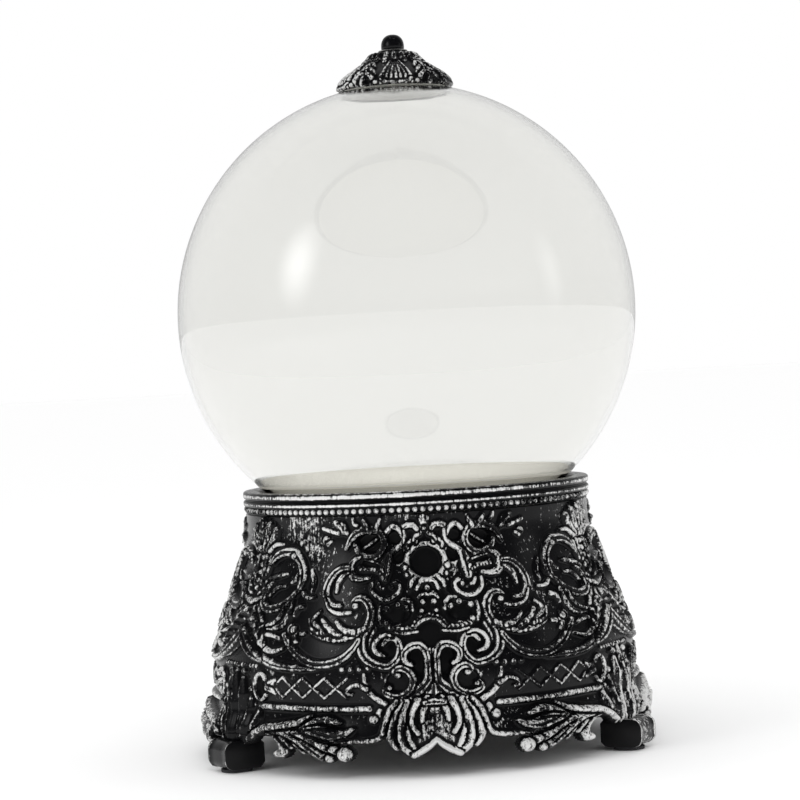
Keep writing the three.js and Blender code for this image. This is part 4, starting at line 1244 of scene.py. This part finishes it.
# %% Blow the ball
BALL_RADIUS = 100.0
GLOBE_WALL = 1.8
NECK_RADIUS = 58.0
CUT_EDGE = 0.4
globe_low, globe_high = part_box("globe")
GLOBE_TOP = globe_high[2] / MM
GLOBE_FOOT = globe_low[2] / MM
GLOBE_CENTRE = GLOBE_TOP - BALL_RADIUS
# The surface is kept just inside the flats of the model's facets, half a millimetre under 100.
GLOBE_RADIUS = globe_high[0] / MM


def sphere_arc(radius, from_radius):
    """Profile points up a sphere from where it has from_radius, below its middle, to its crown."""
    angles = np.linspace(math.asin(from_radius / radius), math.pi, 72)
    return [(radius * math.sin(a), GLOBE_CENTRE - radius * math.cos(a)) for a in angles]


neck_inner = NECK_RADIUS - GLOBE_WALL
globe_profile = sphere_arc(GLOBE_RADIUS - GLOBE_WALL, neck_inner)
globe_profile += sphere_arc(GLOBE_RADIUS, NECK_RADIUS)[::-1]
globe_profile += [
    (NECK_RADIUS, GLOBE_FOOT + CUT_EDGE),
    (NECK_RADIUS - CUT_EDGE, GLOBE_FOOT),
    (neck_inner + CUT_EDGE, GLOBE_FOOT),
    (neck_inner, GLOBE_FOOT + CUT_EDGE),
]
points, faces = turned(globe_profile, 192)
globe = new_piece("globe_blown", points, faces, acrylic, weld=True)
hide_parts("globe")
print("ball from", round(GLOBE_FOOT, 2), "to", round(GLOBE_TOP, 2), "mm")

# %% [markdown]
# ## The sheet across the ball's foot
#
# A disc of opal styrene hides the lamp's window and glows when the lamps below are lit.  It is a
# pan: its edge turns down along the ball's wall, so no dark gap shows between the two.  Opal
# plastic scatters light inside itself.  Scattering could be traced, but that is slow and noisy,
# so a weak glow, which is painted light, stands for the room light that reaches the sheet through the
# ball.

# %% Opal styrene
CLOUDS_PER_MM = 0.06


def opal_styrene():
    """Milky, with a satin skin and hardly any colour change from place to place."""
    mat, tree, metres = new_material("opal_styrene_sheet")
    cloud = add_node(
        tree,
        "TexNoise",
        inputs={"Vector": metres, "Scale": CLOUDS_PER_MM / MM, "Detail": 3.0},
    )
    colour = add_node(
        tree,
        "Mix",
        {"data_type": "RGBA"},
        {0: cloud.outputs["Fac"], 6: linear("#f6f4ec"), 7: linear("#fbfaf4")},
    )
    bump = add_node(
        tree,
        "Bump",
        inputs={"Height": cloud.outputs["Fac"], "Strength": 0.1, "Distance": 0.4 * MM},
    )
    shader = add_node(
        tree,
        "BsdfPrincipled",
        inputs={
            "Base Color": colour.outputs[2],
            "Roughness": 0.45,
            "Normal": bump.outputs["Normal"],
            # The glow is painted light: it brightens the sheet in place of room light coming through
            # the ball.
            "Emission Color": linear("#f6f2e4"),
            "Emission Strength": 0.28,
        },
    )
    return finished(mat, shader)


opal = opal_styrene()
print("made", opal.name)

# %% [markdown]
# ### Shape the sheet
#
# The sheet is a pan: a flat top, a rounded shoulder and a skirt that follows the ball's inner
# wall with a little room to spare.  It is turned, so the skirt fits all the way round.

# %% Press the sheet
SHEET_THICK = 1.0
SHEET_FIT = 0.35
SHEET_ROUND = 1.6
sheet_low, sheet_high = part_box("diffuser_sheet")
SHEET_TOP = sheet_high[2] / MM
SHEET_HEM = sheet_low[2] / MM


def sheet_reach(height, inset):
    """The sheet's radius at a height: the ball's inner wall, less its fit and the inset."""
    ball_inside = math.sqrt((GLOBE_RADIUS - GLOBE_WALL) ** 2 - (GLOBE_CENTRE - height) ** 2)
    return ball_inside - SHEET_FIT - inset


def sheet_edge(inset, height):
    """A rounded shoulder, then the turned-down edge along the ball's wall."""
    reach = sheet_reach(height, inset)
    size = SHEET_ROUND - inset
    bend = np.linspace(0, 1.2, 6)
    skirt = np.linspace(height - SHEET_ROUND - 0.6, SHEET_HEM, 6)
    arc = [(reach - size * (1 - math.sin(a)), height - size * (1 - math.cos(a))) for a in bend]
    return arc + [(sheet_reach(h, inset), h) for h in skirt]


sheet_under = SHEET_TOP - SHEET_THICK
sheet_profile = [(0, SHEET_TOP)] + sheet_edge(0, SHEET_TOP)
sheet_profile += sheet_edge(SHEET_THICK, sheet_under)[::-1] + [(0, sheet_under)]
points, faces = turned(sheet_profile, 120)
sheet = new_piece("opal_sheet", points, faces, opal, weld=True)
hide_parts("diffuser_sheet")
print("sheet from", round(SHEET_HEM, 2), "to", round(SHEET_TOP, 2), "mm")

# %% [markdown]
# ## The finial
#
# A small leafy cap, cast and painted like the stand, is glued to the crown with a soft pad, and a
# knob screws on over a bright washer.  The cap is carved on a panel like the stand's, but its
# grid runs from the cap's edge up to its top, and its five repeats have shells and acanthus
# leaves turn about.  Its underside follows the ball.

# %% Carve the cap
CAP_PAIRS = 5
CAP_ARC_RADIUS = 20.0
CAP_STEP = 0.35
cap_low, cap_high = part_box("finial_cap")
CAP_EDGE = cap_low[2] / MM
CAP_TOP = cap_high[2] / MM
CAP_RADIUS = cap_high[0] / MM
# The cap's plain outline from its edge up to its flat top, as (radius, height above the edge).
CAP_OUTLINE = [
    (24.6, 0.2), (25.2, 1.4), (24.4, 3.4), (21.8, 6), (18.2, 8.6), (15, 11), (12.6, 13),
    (11.4, 14.4), (10.4, 15.6), (9.0, 16.3),
]
cap_curve = smooth_path(CAP_OUTLINE, CAP_STEP)
cap_half = CAP_ARC_RADIUS * math.pi / CAP_PAIRS
cap = Panel(
    np.linspace(0, cap_half, 38),
    np.linspace(0, CAP_STEP * (len(cap_curve) - 1), len(cap_curve)),
)
# Half a shell, its scalloped foot, and the vein of the leaf between two shells.
for lean in (0, 1.9, 3.8, 5.6):
    rib = [(0.35 * lean, 17), (0.7 * lean, 10), (lean, 1.2)]
    cap.strand(rib, (0.6, 1.2, 1.5), (1.0, 1.5, 1.7), gap=0.15)
cap.strand([(0, 0.6), (3, 0.9), (5.4, 2.4)], (2.0, 1.6, 0.8), 1.6, "fluted", gap=0.1)
vein_line = [(cap_half, 17), (cap_half, 9), (cap_half, 0)]
cap.strand(vein_line, (1.4, 2.2, 1.4), (1.3, 2.0, 2.2), "leaf")
# The leaf's lobes, each with a hollow under it.
for low, reach in ((10.5, 3.2), (6.5, 4.4), (2.6, 4.8)):
    lobe = [
        (cap_half - 0.8, low + 3.4), (cap_half - 0.6 * reach, low + 1.6),
        (cap_half - reach, low - 1.6),
    ]
    cap.strand(lobe, (1.4, 1.7, 0.6), 1.8, "fluted")
    cap.hollow(cap_half - 0.45 * reach, low - 0.4, 0.9, 1.3, 0.8)
cap.bead(7.4, 1.4, 1.1, 1.5)
for across in (0, 6.3, cap_half):
    cap.strand([(across, 20.5), (across, 17.6)], (3.2, 4.4), 1.3, "fluted")
cap.lift = soften(cap.lift, 0.2, cap.step)
print("cap radius", round(CAP_RADIUS, 2), "edge", round(CAP_EDGE, 2), "top", round(CAP_TOP, 2))

# %% [markdown]
# ### Wrap the cap
#
# The carving pushes each point out square to the cap's outline, then rings for the underside and
# the stud's hole close the shell.  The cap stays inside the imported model's radius and top.

# %% Wrap the cap
CAP_SKIN = 1.3
STUD_HOLE = 4.0
cap_columns = np.concatenate([-cap.across_line[::-1], cap.across_line[1:-1]]) / CAP_ARC_RADIUS
repeats = [2 * math.pi * k / CAP_PAIRS + cap_columns for k in range(CAP_PAIRS)]
cap_angles = np.concatenate(repeats)[:, None]
run = np.gradient(cap_curve, axis=0)
run /= np.linalg.norm(run, axis=1)[:, None]
cap_lift = np.tile(whole_face(cap.lift), (CAP_PAIRS, 1))
cap_silver = np.tile(whole_face(silver_of(cap.lift, cap.step, 0.7) + 0.09), (CAP_PAIRS, 1))
cap_radius = np.minimum(cap_curve[:, 0] - 1.0 + cap_lift * run[:, 1], CAP_RADIUS)
cap_height = CAP_EDGE + cap_curve[:, 1] + np.clip(-cap_lift * run[:, 0], 0, None) * 0.9
cap_height = np.minimum(cap_height, CAP_TOP)


def on_crown(radius):
    """A point of the cap's underside, which follows the ball's crown."""
    return radius, GLOBE_CENTRE + math.sqrt((GLOBE_RADIUS + CAP_SKIN) ** 2 - radius**2)


closing = [(8.0, CAP_TOP), (STUD_HOLE, CAP_TOP)]
closing += [on_crown(STUD_HOLE), on_crown(14), on_crown(22), (23.0, CAP_EDGE + 0.3)]
closing_radius, closing_height = (np.array([row]) for row in zip(*closing))
ring_radius = np.hstack([cap_radius, np.repeat(closing_radius, len(cap_angles), 0)])
ring_height = np.hstack([cap_height, np.repeat(closing_height, len(cap_angles), 0)])
cap_points = upright(ring_radius, cap_angles, ring_height).transpose(1, 0, 2).reshape(-1, 3)
cap_faces = tube_faces(ring_radius.shape[1], len(cap_angles))
closing_silver = np.full((len(closing), len(cap_angles)), 0.1)
shade = np.vstack([cap_silver.T, closing_silver]).reshape(-1)
finial_cap = new_piece(
    "finial_cap_leafy", cap_points, cap_faces, resin, silver=shade
)
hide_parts("finial_cap")
print("cap points", len(cap_points))

# %% [markdown]
# ### The knob
#
# The knob is a plain dome with a short straight foot, turned from its profile, with a blind hole
# for the stud.

# %% Turn the knob
KNOB_FOOT_HEIGHT = 1.6
KNOB_HOLE = 3.0
knob_low, knob_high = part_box("finial_knob")
KNOB_FOOT = knob_low[2] / MM
KNOB_TOP = knob_high[2] / MM
KNOB_RADIUS = knob_high[0] / MM
stud_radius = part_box("finial_stud")[1][0] / MM + 0.3
dome_foot = KNOB_FOOT + KNOB_FOOT_HEIGHT
dome_tall = KNOB_TOP - KNOB_FOOT - KNOB_FOOT_HEIGHT
dome = [
    (KNOB_RADIUS * math.cos(a) ** 0.8, dome_foot + dome_tall * math.sin(a))
    for a in np.linspace(0, math.pi / 2, 16)[:-1]
]
knob_profile = [
    (0, KNOB_TOP - KNOB_HOLE),
    (stud_radius, KNOB_TOP - KNOB_HOLE),
    (stud_radius, KNOB_FOOT),
    (KNOB_RADIUS - 0.3, KNOB_FOOT),
    (KNOB_RADIUS, KNOB_FOOT + 0.5),
    *dome,
    (0, KNOB_TOP),
]
points, faces = turned(knob_profile, 64)
shade = np.full(len(points), 0.4)
knob = new_piece(
    "finial_knob_domed", points, faces, resin, silver=shade, weld=True
)
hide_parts("finial_knob")
print("knob radius", round(KNOB_RADIUS, 2), "mm")

# %% [markdown]
# ## Finishes for the pieces that keep the model's shape
#
# The screws, springs, board, cells and leads already have their true shapes; each gets the finish
# of its real stuff.  One recipe serves them all: two close colours, a fine grain of a real size,
# and its bump.  Grain finer than about a fifth of a millimetre would never show, so none is.

# %% A grained finish
GRAINED = {}


def grained(
    name, words, dark, light, grain_mm, roughness, metallic=0.0, bump_strength=0.2, stretch=(1, 1, 1)
):
    """Makes a finish, and notes the words in the names of the nodes that wear it."""
    mat, tree, metres = new_material(name)
    space = add_node(tree, "Mapping", inputs={"Vector": metres, "Scale": stretch})
    grain = add_node(
        tree,
        "TexNoise",
        inputs={
            "Vector": space.outputs["Vector"],
            "Scale": 1 / (grain_mm * MM * 2),
            "Detail": 3.0,
        },
    ).outputs["Fac"]
    colour = add_node(
        tree, "Mix", {"data_type": "RGBA"}, {0: grain, 6: linear(dark), 7: linear(light)}
    )
    rough = add_node(
        tree,
        "MapRange",
        inputs={
            "Value": grain,
            "To Min": max(roughness - 0.08, 0.02),
            "To Max": roughness + 0.08,
        },
    )
    bump = add_node(
        tree,
        "Bump",
        inputs={"Height": grain, "Strength": bump_strength, "Distance": grain_mm * MM * 0.3},
    )
    shader = add_node(
        tree,
        "BsdfPrincipled",
        inputs={
            "Base Color": colour.outputs[2],
            "Roughness": rough.outputs["Result"],
            "Metallic": metallic,
            "Normal": bump.outputs["Normal"],
        },
    )
    GRAINED[finished(mat, shader)] = words


print("recipe ready")

# %% [markdown]
# ### Metals
#
# Bare metal is all reflection, so its colour is the colour of its mirror, and roughness says how
# it was made: plating is cloudy, rolled tin plate has a grain in one direction, and a turned
# washer is the brightest.

# %% Metal finishes
METAL = {"metallic": 1.0}
# Zinc plate is a cool grey and a little cloudy.
zinc_nodes = ("finial_stud", "door_pin", "_screw_")
grained(
    "zinc_plated_steel", zinc_nodes, "#9a9b9d", "#c4c5c6", 0.25, 0.32, bump_strength=0.1, **METAL
)
# Nickel on spring wire is warmer and brighter.
grained(
    "nickel_plated_spring_wire", ("contact_",), "#b4b2ac", "#d2d0c8", 0.2, 0.22,
    bump_strength=0.08, **METAL,
)
# Tin plate keeps the fine lines of the rolling mill.
grained(
    "tin_plate_folded", ("switch_body",), "#8f9092", "#adaeb0", 0.4, 0.36, stretch=(6, 1, 1),
    **METAL,
)
# A turned washer gives a clean pale line under the knob.
grained(
    "bright_turned_washer", ("finial_collar",), "#c9c9c6", "#e4e4e0", 0.2, 0.28,
    bump_strength=0.1, **METAL,
)
print("metal finishes", len(GRAINED))

# %% [markdown]
# ### Plastics, rubber and felt
#
# These take their look from the mould or the press: a spark-eroded mould leaves moulded plastic
# finely pitted, solder mask is smooth over a faint weave, and felt has no gloss at all.

# %% Other finishes
# Black moulded plastic, pitted by its mould so that it doesn't shine.
black_nodes = ("bottom_plate", "battery_box", "battery_door")
grained("abs_moulded_spark_texture", black_nodes, "#141415", "#1d1d1f", 0.35, 0.5, 0.0, 0.35)
# Green solder mask over woven glass: smooth, with a half gloss.
grained("fibreglass_board_solder_mask", ("led_board",), "#1b5a38", "#2c7a4d", 0.5, 0.35)
# Moulded rubber and foam are matt; the foam's open cells show as pits.
grained("rubber_moulded_black", ("globe_gasket",), "#161617", "#222224", 0.3, 0.7)
grained("adhesive_foam_pad", ("finial_pad",), "#d9d9d5", "#f0f0ec", 0.4, 0.8, 0.0, 0.5)
# Pressed felt is all loose fibre.
grained("felt_pressed_dark", ("foot_pad_",), "#202022", "#3a3a3d", 0.3, 0.95, 0.0, 0.9)
# Acetal is a waxy white.
grained("acetal_moulded_white", ("switch_slider",), "#dededa", "#ecece8", 0.3, 0.4)
# Wire sleeves are soft PVC with a low gloss.
grained("pvc_sleeve_black", ("lead_black",), "#101011", "#1b1b1c", 0.4, 0.42)
grained("pvc_sleeve_red", ("lead_red", "lead_switched"), "#8e1a14", "#b3251d", 0.4, 0.42)
# The cells wear a plain printed film, which is glossy.
grained("cell_printed_film", ("cell_",), "#2d6b3f", "#3c8250", 1.2, 0.28)
# The lamps' clear epoxy is smooth and nearly white over their bright cups.
grained("led_epoxy_clear", ("led_1", "led_2", "led_3"), "#e9ecee", "#f8f9fa", 0.3, 0.12)
print("finishes", len(GRAINED))

# %% [markdown]
# ### Put the finishes on
#
# A node that keeps its shape only has its material slots filled; its mesh is left alone.

# %% Fill the material slots
given = set()
for finish, words in GRAINED.items():
    for name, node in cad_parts.items():
        if any(word in name for word in words):
            for slot in node.material_slots:
                slot.material = finish
            given.add(name)
print("nodes given a finish", len(given))

# %% [markdown]
# ## The floor
#
# A sheet of white paper, far larger than the view, so that no edge shows.  Paper's tooth is finer
# than can be seen from here, so it is drawn 2.5 mm coarse.

# %% Floor
FLOOR_HALF = 30.0
TOOTH_PER_MM = 0.4


def white_paper():
    """Matt white, with the least sheen that keeps the contact shadow soft."""
    mat, tree, metres = new_material("white_paper_sweep")
    tooth = add_node(
        tree,
        "TexNoise",
        inputs={"Vector": metres, "Scale": TOOTH_PER_MM / MM, "Detail": 2.0},
    )
    bump = add_node(
        tree,
        "Bump",
        inputs={"Height": tooth.outputs["Fac"], "Strength": 0.05, "Distance": 0.5 * MM},
    )
    shader = add_node(
        tree,
        "BsdfPrincipled",
        inputs={
            "Base Color": linear("#f6f6f6"),
            "Roughness": 0.9,
            "Specular IOR Level": 0.1,
            "Normal": bump.outputs["Normal"],
        },
    )
    return finished(mat, shader)


floor_mesh = bpy.data.meshes.new("floor")
floor_corners = [(FLOOR_HALF * x, FLOOR_HALF * y, 0) for x, y in ((-1, -1), (1, -1), (1, 1), (-1, 1))]
floor_mesh.from_pydata(floor_corners, [], [(0, 1, 2, 3)])
floor_mesh.materials.append(white_paper())
floor = bpy.data.objects.new("floor", floor_mesh)
bpy.context.scene.collection.objects.link(floor)
print("floor", 2 * FLOOR_HALF, "m wide")

# %% [markdown]
# ## The room
#
# Polished black shows whatever is round it.  In an all-white room it would turn grey, so its
# reflections see a dim room that is brighter behind the object, while the floor and what is seen
# through the ball see plain white.  The light path tells the two kinds of ray apart.

# %% Room light
world = bpy.data.worlds.new("studio")
bpy.context.scene.world = world
world.use_nodes = True
tree = world.node_tree
tree.nodes.clear()
path = add_node(tree, "LightPath")
way = add_node(tree, "TexCoord").outputs["Generated"]
split = add_node(tree, "SeparateXYZ", inputs={"Vector": way})
behind = add_node(
    tree,
    "MapRange",
    {"interpolation_type": "SMOOTHSTEP"},
    {"Value": split.outputs["Y"], "From Min": -0.1, "From Max": 0.75, "To Min": 0.04, "To Max": 0.6},
)
lift = add_node(
    tree, "Math", {"operation": "MULTIPLY_ADD"}, {0: path.outputs["Is Diffuse Ray"], 1: 0.12, 2: 1.0}
)
dim, white = (
    add_node(tree, "Background", inputs={"Color": linear("#ffffff"), "Strength": strength})
    for strength in (behind.outputs["Result"], lift.outputs[0])
)
mirrored = add_node(
    tree,
    "Math",
    {"operation": "SUBTRACT", "use_clamp": True},
    {0: path.outputs["Is Glossy Ray"], 1: path.outputs["Transmission Depth"]},
)
pick = add_node(
    tree, "MixShader", inputs={0: mirrored.outputs[0], 1: white.outputs[0], 2: dim.outputs[0]}
)
add_node(tree, "OutputWorld", inputs={"Surface": pick.outputs[0]})
print("room made of", len(tree.nodes), "nodes")

# %% [markdown]
# ## The lamps
#
# Three soft boxes: a tall one at the upper left, whose mirror image is the bright spot on the
# ball, a weak one at the right, and a wide one in front that lights the relief but is hidden from
# mirrors.  A bare area light has hard edges in a mirror; cloth over a lamp fades towards its rim,
# so the strength here falls off from the middle.


# %% Soft boxes
def soft_edges(light):
    """Fades an area light towards its edges, as cloth over a lamp does."""
    light.use_nodes = True
    tree = light.node_tree
    tree.nodes.clear()
    place = add_node(tree, "NewGeometry").outputs["Parametric"]
    middle = add_node(
        tree, "VectorMath", {"operation": "SUBTRACT"}, {0: place, 1: (0.5, 0.5, 0.0)}
    )
    flat = add_node(
        tree, "VectorMath", {"operation": "MULTIPLY"}, {0: middle.outputs[0], 1: (1.0, 1.0, 0.0)}
    )
    away = add_node(tree, "VectorMath", {"operation": "LENGTH"}, {0: flat.outputs[0]})
    fade = add_node(
        tree,
        "MapRange",
        {"interpolation_type": "SMOOTHSTEP"},
        {"Value": away.outputs["Value"], "From Max": 0.5, "To Min": 1.0, "To Max": 0.0},
    )
    glow = add_node(tree, "Emission", inputs={"Strength": fade.outputs["Result"]})
    add_node(tree, "OutputLight", inputs={"Surface": glow.outputs[0]})


def soft_box(name, direction, distance, wide, tall, watts):
    """An area light aimed at the ball's middle, which the ball's glass looks past."""
    light = bpy.data.lights.new(name, "AREA")
    light.shape = "RECTANGLE"
    light.size = wide
    light.size_y = tall
    light.energy = watts
    soft_edges(light)
    lamp = bpy.data.objects.new(name, light)
    bpy.context.scene.collection.objects.link(lamp)
    towards = Vector(direction).normalized()
    lamp.location = Vector((0, 0, GLOBE_CENTRE * MM)) + towards * distance
    lamp.rotation_euler = (-towards).to_track_quat("-Z", "Y").to_euler()
    lamp.visible_transmission = False
    return lamp


soft_box("key_box", (-0.767, -0.52, 0.377), 1.2, 0.55, 0.95, 9)
soft_box("side_box", (0.93, -0.28, 0.22), 1.3, 0.4, 0.9, 1.6)
front = soft_box("front_box", (0.1, -0.8, 0.75), 1.6, 1.2, 0.7, 14)
front.visible_glossy = False

scene = bpy.context.scene
scene.view_settings.view_transform = "Standard"
scene.view_settings.look = "None"

# %% [markdown]
# ## Sizes
#
# The imported model's box is printed. The visual model must stay inside the imported
# model's box.

# %% Print the imported model's box
print("cad box", [tuple(round(v, 4) for v in c) for c in cad_box])
